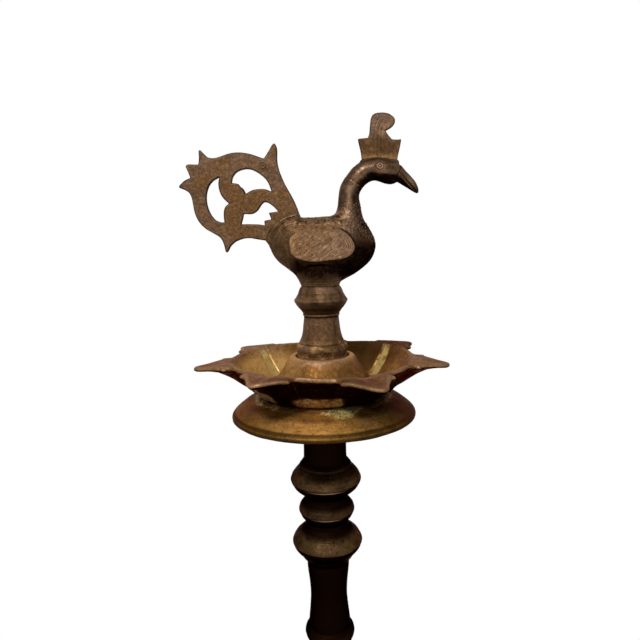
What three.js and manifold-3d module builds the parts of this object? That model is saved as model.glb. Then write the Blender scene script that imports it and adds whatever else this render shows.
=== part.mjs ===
// Standing oil lamp with a peacock finial: a hollow foot, a turned shaft in two lengths, a flared
// drip pan, a star-shaped oil dish with pointed wick spouts, a turned column and the bird.
// Millimetres, +Z up, origin on the axis at the floor. The bird looks along +X.
import * as THREE from "three";
import { mergeVertices } from "three/addons/utils/BufferGeometryUtils.js";
import Module from "manifold-3d";

const wasm = await Module();
wasm.setup();

// Fits
const SEAT_GAP = 0.3; // between two faces that rest on each other
const STUD_GAP = 0.3; // round a stud in its bore
const SLOT_GAP = 0.3; // round a plate in its slot

// Foot
const BASE_RADIUS = 115;
const BASE_HEIGHT = 110;
const BASE_WALL = 4.5;
const BASE_RIM_HEIGHT = 9;

// Shaft
const NECK_RADIUS = 16.5;
const LOWER_SHAFT_LENGTH = 222;
const UPPER_SHAFT_LENGTH = 181;
const BIG_RING_RADIUS = 27.2;
const BIG_RING_HEIGHT = 32.5;
const SMALL_RING_RADIUS = 21.4;
const SMALL_RING_HEIGHT = 17;
const RING_DROP = 29.7; // from the shaft's top to its first ring
const RING_SPACE = 1.2; // neck left between two rings
const JOINT_COLLAR_RADIUS = 20;
const JOINT_COLLAR_HEIGHT = 11;
const SHAFT_WAIST_RADIUS = 14.5;

// Drip pan
const PAN_RADIUS = 69.8;
const PAN_DROP = 17.2; // from the flat top down to the lip's lower edge
const PAN_WALL = 3.2;
const PAN_COLLAR_RADIUS = 28;
const PAN_HUB_RADIUS = 19;
const PAN_HUB_HEIGHT = 22.3;

// Oil dish
const SPOUT_COUNT = 7;
const SPOUT_RADIUS = 95;
const SPOUT_HALF_WIDTH = 19.6;
const SPOUT_PHASE = -2.34; // degrees about the axis, from the sides of the bird
const GROOVE_HALF_WIDTH = 4.6;
const GROOVE_DEPTH = 2.2;
const DISH_RADIUS = 69.5;
const DISH_DEPTH = 23.7;
const DISH_WALL = 2.6;
const DISH_RIM_RISE = 2; // of the rim between two spouts over the spouts' tips
const DISH_FLUTE_DEPTH = 3.4;
const SOCKET_RIM_RADIUS = 24.6;
const SOCKET_RIM_RISE = 4.5;
const SOCKET_DEPTH = 3.5;
const MOUND_RADIUS = 46;

// Column under the bird
const COLUMN_HEIGHT = 55.7;
const COLUMN_TOP_RADIUS = 14.3;
const COLUMN_KNOB_RADIUS = 20.1;
const COLUMN_WAIST_RADIUS = 13.2;
const COLUMN_FOOT_RADIUS = 19.5;
const COLUMN_SIDE_GAP = 0.9; // between the column's foot and the dish's socket

// Studs
const STUD_RADIUS = 6;
const STUD_REACH = 30; // into each piece that a stud holds
const BIRD_STUD_RADIUS = 4.5;
const BIRD_STUD_REACH = 14;
const BORE_SPARE = 3; // bore left past a stud's end

// Peacock
const FOOT_FLARE_HEIGHT = 15;
const BODY_HALF_WIDTH = 20.5;
const NECK_HALF_WIDTH = 7.6;
const WING_SEAT = 14.5; // from the middle plane to the wing's inner face
const WING_THICKNESS = 5.8;
const TAIL_THICKNESS = 4;
const CREST_THICKNESS = 3.4;
const CREST_TANG = 5;
const EYE_RADIUS = 2.6;

// Facets
const SIDES = 22;
const WIDE_SIDES = 32;
const BOWL_SIDES = 6 * SPOUT_COUNT;
const STUD_SIDES = 16;
const OVAL_SIDES = 16;
const WING_SIDES = 24;
const CURVE_STEPS = 3;

const bronze = new THREE.MeshStandardMaterial({ color: 0x3a2a1c, roughness: 0.55, metalness: 0.85 });
const darkBronze = new THREE.MeshStandardMaterial({ color: 0x1c130d, roughness: 0.5, metalness: 0.85 });
const goldenBrass = new THREE.MeshStandardMaterial({ color: 0x6b4a22, roughness: 0.5, metalness: 0.85 });

// Solids from closed geometries and back
function solid(geometry) {
  const bare = geometry.index ? geometry.toNonIndexed() : geometry.clone();
  bare.deleteAttribute("normal");
  bare.deleteAttribute("uv");
  const merged = mergeVertices(bare, 1e-4);
  const vertProperties = new Float32Array(merged.attributes.position.array);
  const triVerts = new Uint32Array(merged.index.array);
  return new wasm.Manifold(new wasm.Mesh({ numProp: 3, vertProperties, triVerts }));
}

function geometryOf(body) {
  const mesh = body.getMesh();
  const geometry = new THREE.BufferGeometry();
  geometry.setAttribute("position", new THREE.BufferAttribute(mesh.vertProperties, 3));
  geometry.setIndex(new THREE.BufferAttribute(mesh.triVerts, 1));
  const flat = geometry.toNonIndexed();
  flat.computeVertexNormals();
  return flat;
}

function named(name, body, material) {
  const mesh = new THREE.Mesh(geometryOf(body), material);
  mesh.name = name;
  return mesh;
}

// Profile points are [radius, height]. A turned solid runs from the axis at the foot, up its
// outside and back to the axis at the top, so that its faces point out.
function turned(profile, sides = SIDES) {
  const points = profile.map(([r, z]) => new THREE.Vector2(r, z));
  const spun = new THREE.LatheGeometry(points, sides);
  spun.rotateX(Math.PI / 2);
  return solid(spun);
}

function rod(radius, bottom, top, sides = SIDES) {
  return turned([[0, bottom], [radius, bottom], [radius, top], [0, top]], sides);
}

function curve(points, steps) {
  const spline = new THREE.SplineCurve(points.map(([a, b]) => new THREE.Vector2(a, b)));
  return spline.getPoints(steps).map((p) => [p.x, p.y]);
}

// A plate in the bird's middle plane from an outline of [x, z], thick along Y about y = middle.
function plate(shape, thickness, middle = 0) {
  const slab = new THREE.ExtrudeGeometry(shape, { depth: thickness, bevelEnabled: false, curveSegments: CURVE_STEPS });
  slab.rotateX(Math.PI / 2);
  slab.translate(0, middle + thickness / 2, 0);
  return solid(slab);
}

function vectors(points) {
  return points.map(([x, z]) => new THREE.Vector2(x, z));
}

function polygon(points) {
  return new THREE.Shape(vectors(points));
}

// A closed skin over rings of equal point count. Each ring is a list of Vector3; the ends are fans.
function skin(rings) {
  const count = rings[0].length;
  const middleOf = (ring) => ring.reduce((sum, p) => sum.add(p), new THREE.Vector3()).divideScalar(count);
  const corners = [...rings.flat(), middleOf(rings[0]), middleOf(rings.at(-1))];
  const index = [];
  for (let i = 0; i + 1 < rings.length; i += 1) {
    for (let j = 0; j < count; j += 1) {
      const a = i * count + j;
      const b = i * count + ((j + 1) % count);
      index.push(a, b, b + count, a, b + count, a + count);
    }
  }
  const last = (rings.length - 1) * count;
  const ends = rings.length * count;
  for (let j = 0; j < count; j += 1) {
    const next = (j + 1) % count;
    index.push(ends, next, j);
    index.push(ends + 1, last + j, last + next);
  }
  const geometry = new THREE.BufferGeometry();
  geometry.setAttribute("position", new THREE.Float32BufferAttribute(corners.flatMap((p) => [p.x, p.y, p.z]), 3));
  geometry.setIndex(index);
  const body = solid(geometry);
  if (body.volume() > 0) return body;
  geometry.setIndex(index.toReversed());
  return solid(geometry);
}

// A body swept through stations [x, z, x, z, half width]: two outline points in the middle plane
// and the half width between them. The stations in between come from splines.
function swept(stations, steps, widthScale, squareness = 1) {
  const line = (a, b) => new THREE.CatmullRomCurve3(stations.map((s) => new THREE.Vector3(s[a], 0, s[b])));
  const widths = new THREE.CatmullRomCurve3(stations.map((s, i) => new THREE.Vector3(i, s[4], 0)));
  const one = line(0, 1);
  const two = line(2, 3);
  const rings = [];
  for (let i = 0; i <= steps; i += 1) {
    const a = one.getPoint(i / steps);
    const b = two.getPoint(i / steps);
    const middle = a.clone().add(b).multiplyScalar(0.5);
    const reach = b.clone().sub(a).multiplyScalar(0.5);
    const half = widths.getPoint(i / steps).y * widthScale;
    rings.push(oval(middle, reach, half, squareness));
  }
  return skin(rings);
}

function oval(middle, reach, half, squareness) {
  const ring = [];
  for (let j = 0; j < OVAL_SIDES; j += 1) {
    const angle = (j / OVAL_SIDES) * 2 * Math.PI;
    const across = Math.sign(Math.sin(angle)) * Math.abs(Math.sin(angle)) ** squareness;
    const along = Math.sign(Math.cos(angle)) * Math.abs(Math.cos(angle)) ** squareness;
    ring.push(middle.clone().addScaledVector(reach, along).add(new THREE.Vector3(0, half * across, 0)));
  }
  return ring;
}

// Turned rings of the shaft, as outlines that run down from z = top
function bigRing(top, flipped) {
  const neck = NECK_RADIUS;
  const swell = BIG_RING_RADIUS - neck;
  const down = BIG_RING_HEIGHT;
  const shoulder = neck + swell * 0.46;
  const bowl = curve(
    [
      [shoulder + 0.7, 0.25],
      [neck + swell * 0.9, 0.385],
      [neck + swell, 0.51],
      [neck + swell * 0.76, 0.7],
      [neck + swell * 0.3, 0.87],
      [neck, 1],
    ],
    6,
  );
  const outline = [[neck, 0], [shoulder, 0.24], ...bowl];
  const placed = outline.map(([r, share]) => [r, top - down * (flipped ? 1 - share : share)]);
  return flipped ? placed.reverse() : placed;
}

function smallRing(top) {
  const points = [];
  const steps = 6;
  for (let i = 0; i <= steps; i += 1) {
    const swell = Math.sin((i / steps) * Math.PI) * (SMALL_RING_RADIUS - NECK_RADIUS);
    points.push([NECK_RADIUS + swell, top - (SMALL_RING_HEIGHT * i) / steps]);
  }
  return points;
}

// A big ring, the small one and the big one turned over, with a short neck between each
function ringGroup(top) {
  const second = top - BIG_RING_HEIGHT - RING_SPACE;
  const third = second - SMALL_RING_HEIGHT - RING_SPACE;
  return [...bigRing(top, false), ...smallRing(second), ...bigRing(third, true)];
}

const RING_GROUP_HEIGHT = 2 * BIG_RING_HEIGHT + SMALL_RING_HEIGHT + 2 * RING_SPACE;

function jointCollar(bottom) {
  const side = JOINT_COLLAR_RADIUS;
  return [
    [NECK_RADIUS, bottom + JOINT_COLLAR_HEIGHT],
    [side - 0.8, bottom + JOINT_COLLAR_HEIGHT * 0.8],
    [side, bottom + JOINT_COLLAR_HEIGHT * 0.5],
    [side - 0.8, bottom + JOINT_COLLAR_HEIGHT * 0.2],
    [NECK_RADIUS + 1, bottom],
  ];
}

// Heights of the seats, each from the piece below it
const LOWER_SHAFT_Z = BASE_HEIGHT + SEAT_GAP;
const UPPER_SHAFT_Z = LOWER_SHAFT_Z + LOWER_SHAFT_LENGTH + SEAT_GAP;
const PAN_Z = UPPER_SHAFT_Z + UPPER_SHAFT_LENGTH + SEAT_GAP;
const DISH_Z = PAN_Z + PAN_HUB_HEIGHT + SEAT_GAP;
const RIM_Z = DISH_Z + DISH_DEPTH; // the plane of the spouts' tips
const SOCKET_FLOOR_Z = RIM_Z + SOCKET_RIM_RISE - SOCKET_DEPTH;
const COLUMN_Z = SOCKET_FLOOR_Z + SEAT_GAP;
const BIRD_Z = COLUMN_Z + COLUMN_HEIGHT + SEAT_GAP;

function bored(body, radius, bottom, top) {
  return body.subtract(rod(radius + STUD_GAP, bottom, top));
}

// The foot: a bell with a broad flat rim, hollow from below, with a solid neck for its stud
function baseBell() {
  const flare = (wall, foot) =>
    curve(
      [
        [NECK_RADIUS + 3 - wall * 0.4, BASE_HEIGHT - 26],
        [NECK_RADIUS + 16 - wall, BASE_HEIGHT * 0.58],
        [BASE_RADIUS * 0.48 - wall, BASE_HEIGHT * 0.42],
        [BASE_RADIUS * 0.76 - wall, BASE_HEIGHT * 0.3],
        [BASE_RADIUS * 0.86 - wall, foot],
      ],
      7,
    ).reverse();
  const outside = [
    [0, 0],
    [BASE_RADIUS, 0],
    [BASE_RADIUS, BASE_RIM_HEIGHT - 2.5],
    [BASE_RADIUS - 2.5, BASE_RIM_HEIGHT],
    [BASE_RADIUS * 0.9, BASE_RIM_HEIGHT + 2],
    [BASE_RADIUS * 0.89, BASE_RIM_HEIGHT + 5],
    ...flare(0, BASE_RIM_HEIGHT + 10),
    [NECK_RADIUS + 5.5, BASE_HEIGHT - 22],
    [NECK_RADIUS + 7.5, BASE_HEIGHT - 17],
    [NECK_RADIUS + 5.5, BASE_HEIGHT - 12],
    [NECK_RADIUS, BASE_HEIGHT - 8],
    [NECK_RADIUS + 1, BASE_HEIGHT],
    [0, BASE_HEIGHT],
  ];
  const roof = BASE_HEIGHT - STUD_REACH - BORE_SPARE - BASE_WALL;
  const inside = [
    [0, -1],
    [BASE_RADIUS - BASE_WALL * 2, -1],
    [BASE_RADIUS - BASE_WALL * 2, BASE_RIM_HEIGHT - BASE_WALL],
    [BASE_RADIUS * 0.86 - BASE_WALL, BASE_RIM_HEIGHT + 1],
    ...flare(BASE_WALL, BASE_RIM_HEIGHT + 8).filter(([, z]) => z < roof - 4),
    [NECK_RADIUS - 2, roof],
    [0, roof],
  ];
  const body = turned(outside, WIDE_SIDES).subtract(turned(inside, WIDE_SIDES));
  return bored(body, STUD_RADIUS, BASE_HEIGHT - STUD_REACH - BORE_SPARE, BASE_HEIGHT + 1);
}

function lowerShaft() {
  const ringsTop = JOINT_COLLAR_HEIGHT + 6 + RING_GROUP_HEIGHT;
  const taper = curve(
    [
      [NECK_RADIUS + 1, LOWER_SHAFT_LENGTH - 1],
      [SHAFT_WAIST_RADIUS + 0.6, LOWER_SHAFT_LENGTH - 22],
      [SHAFT_WAIST_RADIUS, (LOWER_SHAFT_LENGTH + ringsTop) / 2],
      [NECK_RADIUS, ringsTop + 6],
    ],
    4,
  );
  const down = [
    [0, LOWER_SHAFT_LENGTH],
    [NECK_RADIUS, LOWER_SHAFT_LENGTH],
    ...taper,
    ...ringGroup(ringsTop),
    ...jointCollar(0),
    [0, 0],
  ];
  const body = bored(turned(down.reverse()), STUD_RADIUS, -1, STUD_REACH + BORE_SPARE);
  return bored(body, STUD_RADIUS, LOWER_SHAFT_LENGTH - STUD_REACH - BORE_SPARE, LOWER_SHAFT_LENGTH + 1);
}

function upperShaft() {
  const top = UPPER_SHAFT_LENGTH;
  const ringsBottom = top - RING_DROP - RING_GROUP_HEIGHT;
  const waist = curve(
    [
      [NECK_RADIUS, ringsBottom - 4],
      [SHAFT_WAIST_RADIUS, (ringsBottom + JOINT_COLLAR_HEIGHT) / 2],
      [NECK_RADIUS, JOINT_COLLAR_HEIGHT + 4],
    ],
    4,
  );
  const down = [
    [0, top],
    [NECK_RADIUS, top],
    ...ringGroup(top - RING_DROP),
    ...waist,
    ...jointCollar(0),
    [0, 0],
  ];
  const body = bored(turned(down.reverse()), STUD_RADIUS, -1, STUD_REACH + BORE_SPARE);
  return bored(body, STUD_RADIUS, top - STUD_REACH - BORE_SPARE, top + 1);
}

// The pan: a shallow dome with a thick rounded lip, a flat collar for the dish, a hub below
function dripPan() {
  const top = PAN_HUB_HEIGHT;
  const lip = top - PAN_DROP;
  const span = PAN_RADIUS - PAN_COLLAR_RADIUS;
  const dome = (wall) =>
    curve(
      [
        [PAN_COLLAR_RADIUS, top - wall],
        [PAN_COLLAR_RADIUS + span * 0.53, top - wall - PAN_DROP * 0.11],
        [PAN_COLLAR_RADIUS + span * 0.77, top - wall - PAN_DROP * 0.31],
        [PAN_COLLAR_RADIUS + span * 0.94 - wall * 0.3, top - wall * 0.6 - PAN_DROP * 0.65],
        [PAN_RADIUS - wall * 0.75, lip + 4],
      ],
      7,
    );
  const up = [
    [0, 0],
    [PAN_HUB_RADIUS - 1, 0],
    [PAN_HUB_RADIUS, 1],
    [PAN_HUB_RADIUS, top - PAN_WALL - 4],
    ...dome(PAN_WALL),
    [PAN_RADIUS - PAN_WALL * 0.6, lip],
    [PAN_RADIUS - 1, lip],
    [PAN_RADIUS, lip + 1.6],
    ...dome(0).reverse(),
    [0, top],
  ];
  return bored(turned(up, WIDE_SIDES), STUD_RADIUS, -1, top + 1);
}

// Spout outline in plan, as [distance from the axis, half width], from the bowl out to the tip
function spoutOutline() {
  const reach = SPOUT_RADIUS - DISH_RADIUS;
  const width = SPOUT_HALF_WIDTH;
  return [
    [DISH_RADIUS * 0.7, width * 0.96],
    [DISH_RADIUS * 0.955, width * 0.96],
    [DISH_RADIUS + reach * 0.16, width],
    [DISH_RADIUS + reach * 0.23, width * 0.83],
    [DISH_RADIUS + reach * 0.42, width * 0.62],
    [DISH_RADIUS + reach * 0.64, width * 0.44],
    [DISH_RADIUS + reach * 0.84, width * 0.24],
    [SPOUT_RADIUS, width * 0.08],
  ];
}

// Height under the tips' plane of the keel below a spout, by the distance from the axis
function keelDepth(distance) {
  const start = DISH_RADIUS + (SPOUT_RADIUS - DISH_RADIUS) * 0.3;
  const slope = 0.56;
  return Math.min(DISH_DEPTH - 1, DISH_WALL + 1.4 + Math.max(0, start - distance) * slope);
}

function spoutRim(distance) {
  const share = THREE.MathUtils.clamp((SPOUT_RADIUS - distance) / (SPOUT_RADIUS - DISH_RADIUS), 0, 1);
  return RIM_Z + DISH_RIM_RISE * share * 0.9;
}

// One spout: rim plate and keel as a skin over sections across the spout, along +X
function spoutBody() {
  const rings = spoutOutline().map(([distance, half]) => {
    const rim = spoutRim(distance);
    const under = RIM_Z - keelDepth(distance);
    const edge = Math.max(rim - DISH_WALL - 0.2, under + 0.1);
    const at = (y, z) => new THREE.Vector3(distance, y, z);
    return [at(half, rim), at(-half, rim), at(-half, edge), at(0, under), at(half, edge)];
  });
  return skin(rings);
}

// The wick channel: a groove in the spout's plate that widens and falls into the bowl
function spoutGroove() {
  const floor = DISH_DEPTH - DISH_WALL - 1;
  const start = DISH_RADIUS + (SPOUT_RADIUS - DISH_RADIUS) * 0.24;
  const stations = [
    [DISH_RADIUS * 0.6, floor],
    [DISH_RADIUS * 0.72, floor * 0.8],
    [start, GROOVE_DEPTH],
    [SPOUT_RADIUS - 5, GROOVE_DEPTH * 0.7],
    [SPOUT_RADIUS + 2, GROOVE_DEPTH * 0.5],
  ];
  const rings = stations.map(([distance, depth], i) => {
    const half = Math.min(GROOVE_HALF_WIDTH, GROOVE_HALF_WIDTH * (1.15 - i * 0.16));
    const top = RIM_Z + DISH_RIM_RISE + 3;
    const bottom = RIM_Z - depth;
    const at = (y, z) => new THREE.Vector3(distance, y, z);
    return [at(half * 1.4, top), at(-half * 1.4, top), at(-half, bottom), at(half, bottom)];
  });
  return skin(rings);
}

// The bowl between the spouts: rings whose wall is drawn in between two spouts
function bowl(inset, top) {
  const levels = [
    [0.57, 1],
    [0.66, 0.97],
    [0.83, 0.62],
    [0.95, 0.22],
    [1, 0],
  ];
  const rings = levels.map(([share, depth]) => {
    const z = depth === 0 ? top : RIM_Z - (DISH_DEPTH - inset) * depth;
    const draw = Math.sin(Math.min(1, depth) * Math.PI) * DISH_FLUTE_DEPTH;
    const ring = [];
    for (let j = 0; j < BOWL_SIDES; j += 1) {
      const angle = (j / BOWL_SIDES) * 2 * Math.PI;
      const valley = (1 - Math.cos(angle * SPOUT_COUNT)) / 2;
      const radius = DISH_RADIUS * share - inset - draw * valley;
      ring.push(new THREE.Vector3(radius * Math.cos(angle), radius * Math.sin(angle), z));
    }
    return ring;
  });
  return skin(rings);
}

function oilDish() {
  const step = 360 / SPOUT_COUNT;
  let outer = bowl(0, RIM_Z + DISH_RIM_RISE);
  let inner = bowl(DISH_WALL, RIM_Z + DISH_RIM_RISE + 1);
  for (let i = 0; i < SPOUT_COUNT; i += 1) {
    outer = outer.add(spoutBody().rotate([0, 0, i * step]));
    inner = inner.add(spoutGroove().rotate([0, 0, i * step]));
  }
  const rim = RIM_Z + SOCKET_RIM_RISE;
  const socket = COLUMN_FOOT_RADIUS + COLUMN_SIDE_GAP;
  const mound = turned([
    [0, DISH_Z],
    [MOUND_RADIUS * 0.9, DISH_Z],
    [MOUND_RADIUS, DISH_Z + DISH_WALL + 0.8],
    [MOUND_RADIUS * 0.78, DISH_Z + DISH_DEPTH * 0.45],
    [SOCKET_RIM_RADIUS + 1.6, rim - 3],
    [SOCKET_RIM_RADIUS, rim - 0.7],
    [SOCKET_RIM_RADIUS - 1.2, rim],
    [socket + 0.6, rim],
    [socket, rim - 0.6],
    [socket, SOCKET_FLOOR_Z],
    [0, SOCKET_FLOOR_Z],
  ]);
  const dish = outer.subtract(inner).add(mound);
  const placed = dish.rotate([0, 0, -90 + step / 2 + SPOUT_PHASE]);
  return bored(placed, STUD_RADIUS, DISH_Z - 1, RIM_Z + 10);
}

// The column, turned with a sharp knob above a cove and a ringed foot
function finialColumn() {
  const top = COLUMN_HEIGHT;
  const knob = top - 10.5;
  const bead = top - 21.5;
  const up = [
    [0, 0],
    [COLUMN_FOOT_RADIUS - 0.7, 0],
    [COLUMN_FOOT_RADIUS, 1],
    [COLUMN_FOOT_RADIUS, 9.6],
    [COLUMN_FOOT_RADIUS - 0.7, 11.4],
    [COLUMN_WAIST_RADIUS + 3.6, 13.4],
    [COLUMN_WAIST_RADIUS + 2.1, 17.1],
    [COLUMN_WAIST_RADIUS + 0.9, 22],
    [COLUMN_WAIST_RADIUS + 0.4, 28],
    [COLUMN_WAIST_RADIUS, bead - 2],
    [COLUMN_WAIST_RADIUS + 0.7, bead - 1],
    [COLUMN_WAIST_RADIUS + 0.5, bead + 0.6],
    [COLUMN_WAIST_RADIUS + 2.3, bead + 3.6],
    [COLUMN_KNOB_RADIUS - 2.6, knob - 5.2],
    [COLUMN_KNOB_RADIUS - 1, knob - 2.6],
    [COLUMN_KNOB_RADIUS, knob],
    [COLUMN_KNOB_RADIUS - 1, knob + 1.5],
    [COLUMN_TOP_RADIUS + 2.4, knob + 6],
    [COLUMN_TOP_RADIUS, top],
    [0, top],
  ];
  const body = bored(turned(up), STUD_RADIUS, -1, STUD_REACH + BORE_SPARE);
  return bored(body, BIRD_STUD_RADIUS, top - BIRD_STUD_REACH - BORE_SPARE, top + 1);
}

// Outlines of the bird, as [x, z] from the foot of the bird on the lamp's axis
const TAIL_TONGUE = [[-40, 33.6], [-27, 29], [-12, 39], [-10.5, 52], [-17, 59]];
const CREST_SEAT = [33.4, 57.6, 88.6]; // left side, right side and the head's top

function torso() {
  const stations = [
    [-40.2, 32, -40.2, 37, 0.14],
    [-36.5, 27.5, -36.5, 41.5, 0.34],
    [-30.5, 18.5, -30.5, 47, 0.6],
    [-22, 11, -22, 52.2, 0.8],
    [-13, 6.5, -13, 51, 0.92],
    [0, 5, 0, 50, 1],
    [13, 6, 13, 50.6, 1],
    [25, 9.2, 25, 49, 0.9],
    [34, 14.6, 34, 43.5, 0.66],
    [39.4, 20.5, 39.4, 36, 0.38],
    [41.5, 25.5, 41.5, 28.5, 0.1],
  ];
  return swept(stations, 15, BODY_HALF_WIDTH, 0.86);
}

function neckAndHead() {
  const stations = [
    [6, 38, 37, 33, 1.9],
    [12, 50, 34.5, 45, 1.35],
    [14.2, 58, 31.2, 57, 1.06],
    [15.1, 66, 30.2, 65, 0.98],
    [18.6, 75.1, 32.9, 69.5, 0.96],
    [25, 83.6, 38.7, 74.2, 0.95],
    [32.3, 89, 43.7, 74.5, 0.98],
    [40, 90.8, 49, 73, 1.02],
    [48.4, 90.4, 53.4, 72, 0.94],
    [56, 88.8, 56.6, 73, 0.76],
    [60.5, 86, 60.5, 72.2, 0.56],
    [66.5, 79.6, 66, 68.8, 0.36],
    [71.4, 72.8, 70.6, 65.4, 0.2],
    [73.6, 67, 73.2, 65.2, 0.08],
  ];
  return swept(stations, 20, NECK_HALF_WIDTH);
}

function wingShape(margin) {
  const edge = new THREE.EllipseCurve(2, 31, 24 + margin, 13.4 + margin, 0, 2 * Math.PI);
  return new THREE.Shape(edge.getPoints(WING_SIDES).slice(1));
}

function wing(side) {
  return plate(wingShape(0), WING_THICKNESS, side * (WING_SEAT + WING_THICKNESS / 2));
}

function wingSeat(side) {
  const reach = BODY_HALF_WIDTH * 1.5;
  const inner = WING_SEAT - SEAT_GAP;
  return plate(wingShape(SLOT_GAP), reach - inner, (side * (reach + inner)) / 2);
}

// The pierced tail: outer rim with spikes, three leaf lobes in the middle and three openings
function tailShape() {
  const shape = new THREE.Shape();
  shape.moveTo(-17, 59);
  shape.splineThru(vectors([[-24.6, 76.6], [-28.8, 90], [-28.6, 100.4], [-31.2, 103.2]]));
  shape.splineThru(vectors([[-34.4, 98.4], [-38.3, 92.7]]));
  shape.splineThru(vectors([[-48.9, 96.5], [-60, 97.4], [-71, 94.4], [-78.3, 94.5], [-84.4, 99.8]]));
  shape.lineTo(-85, 93);
  shape.lineTo(-86.5, 89.5);
  shape.lineTo(-94.6, 89.4);
  shape.lineTo(-91.8, 81);
  shape.lineTo(-100.7, 74.3);
  shape.splineThru(vectors([[-94.8, 70.8], [-92, 64.5], [-88.7, 51.5], [-78.4, 40.8], [-71.7, 35.9], [-68.2, 26.2]]));
  shape.splineThru(vectors([[-62.7, 33.5], [-51, 35.9], [-40, 33.6]]));
  const [, ...tongue] = TAIL_TONGUE;
  tongue.forEach(([x, z]) => shape.lineTo(x, z));
  shape.holes.push(...tailOpenings());
  return shape;
}

function tailOpenings() {
  const upper = new THREE.Path();
  upper.moveTo(-62.1, 76);
  upper.splineThru(vectors([[-57, 84], [-48, 85.4], [-38.5, 79], [-33.5, 69.3]]));
  upper.splineThru(vectors([[-43, 71.2], [-52.4, 67.9]]));
  upper.splineThru(vectors([[-55.6, 73.6], [-62.1, 76]]));
  const left = new THREE.Path();
  left.moveTo(-71.2, 80.4);
  left.splineThru(vectors([[-71, 69], [-65, 61.5]]));
  left.splineThru(vectors([[-68.8, 56], [-68.9, 48]]));
  left.splineThru(vectors([[-77.5, 52], [-81, 64.5], [-78, 76], [-71.2, 80.4]]));
  const lower = new THREE.Path();
  lower.moveTo(-29.6, 54.8);
  lower.splineThru(vectors([[-38.6, 61.8], [-44.2, 56], [-54.5, 53.6]]));
  lower.splineThru(vectors([[-54.9, 50], [-56.6, 46.2]]));
  lower.splineThru(vectors([[-48, 46.4], [-40, 45.3]]));
  lower.lineTo(-39.6, 48.6);
  lower.lineTo(-34.4, 49);
  lower.lineTo(-35.8, 53.6);
  lower.lineTo(-29.6, 54.8);
  return [upper, left, lower];
}

// A polygon that runs anticlockwise, with each side moved out by the gap
function grown(points, gap) {
  const count = points.length;
  return points.map(([x, z], i) => {
    const [px, pz] = points[(i + count - 1) % count];
    const [nx, nz] = points[(i + 1) % count];
    const before = new THREE.Vector2(z - pz, px - x).normalize();
    const after = new THREE.Vector2(nz - z, x - nx).normalize();
    const middle = before.clone().add(after).normalize();
    const reach = gap / middle.dot(after);
    return [x + middle.x * reach, z + middle.y * reach];
  });
}

// The slot follows the tongue's inner end and runs out past the rump
function tailSlot() {
  const [, ...tongue] = TAIL_TONGUE;
  return polygon(grown([[-60, 15], ...tongue, [-24.6, 76.6], [-60, 76.6]], SLOT_GAP));
}

// The crest: a stepped base with two corners and a curled plume, with a tang let into the head
function crestShape() {
  const [left, right, base] = CREST_SEAT;
  const shape = new THREE.Shape();
  shape.moveTo(left, base - CREST_TANG);
  shape.lineTo(left, base + 2);
  shape.splineThru(vectors([[32, 95.8], [30.1, 104.4]]));
  shape.lineTo(37, 104.9);
  shape.splineThru(vectors([[38.8, 111.6], [39.4, 118], [42.8, 121.8], [48.8, 122.5], [54.3, 120.5], [57, 116.2]]));
  shape.splineThru(vectors([[55, 112.2], [50, 109.5]]));
  shape.splineThru(vectors([[52, 106.6], [54.4, 103.3]]));
  shape.lineTo(61.4, 103.3);
  shape.splineThru(vectors([[59.9, 96.1], [right, base + 2]]));
  shape.lineTo(right, base - CREST_TANG);
  return shape;
}

function crestSlot() {
  const [left, right, base] = CREST_SEAT;
  const floor = base - CREST_TANG;
  return polygon(grown([[left, floor], [right, floor], [right, base + 20], [left, base + 20]], SLOT_GAP));
}

function eye(side) {
  const ball = new THREE.SphereGeometry(EYE_RADIUS, 8, 6);
  ball.scale(1, 0.5, 1);
  ball.translate(45.7, side * NECK_HALF_WIDTH * 0.86, 85.6);
  return solid(ball);
}

function peacockBody() {
  const flare = curve(
    [
      [COLUMN_TOP_RADIUS, 0],
      [COLUMN_TOP_RADIUS + 0.8, 3],
      [COLUMN_TOP_RADIUS + 4, 8],
      [COLUMN_TOP_RADIUS + 4.5, FOOT_FLARE_HEIGHT],
    ],
    5,
  );
  const foot = turned([[0, 0], ...flare, [0, FOOT_FLARE_HEIGHT]]);
  let bird = foot.add(torso()).add(neckAndHead()).add(eye(1)).add(eye(-1));
  bird = bird.subtract(wingSeat(1)).subtract(wingSeat(-1));
  bird = bird.subtract(plate(tailSlot(), TAIL_THICKNESS + 2 * SLOT_GAP));
  bird = bird.subtract(plate(crestSlot(), CREST_THICKNESS + 2 * SLOT_GAP));
  return bored(bird, BIRD_STUD_RADIUS, -1, BIRD_STUD_REACH + BORE_SPARE);
}

function lifted(z, meshes) {
  const group = new THREE.Group();
  group.position.z = z;
  group.add(...meshes);
  return group;
}

const bird = lifted(BIRD_Z, [
  named("peacock_body", peacockBody(), bronze),
  named("wing_left", wing(1), bronze),
  named("wing_right", wing(-1), bronze),
  named("crest", plate(crestShape(), CREST_THICKNESS), bronze),
  named("tail_plate", plate(tailShape(), TAIL_THICKNESS), bronze),
  named("peacock_stud", rod(BIRD_STUD_RADIUS, -BIRD_STUD_REACH, BIRD_STUD_REACH, STUD_SIDES), darkBronze),
]);

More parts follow.
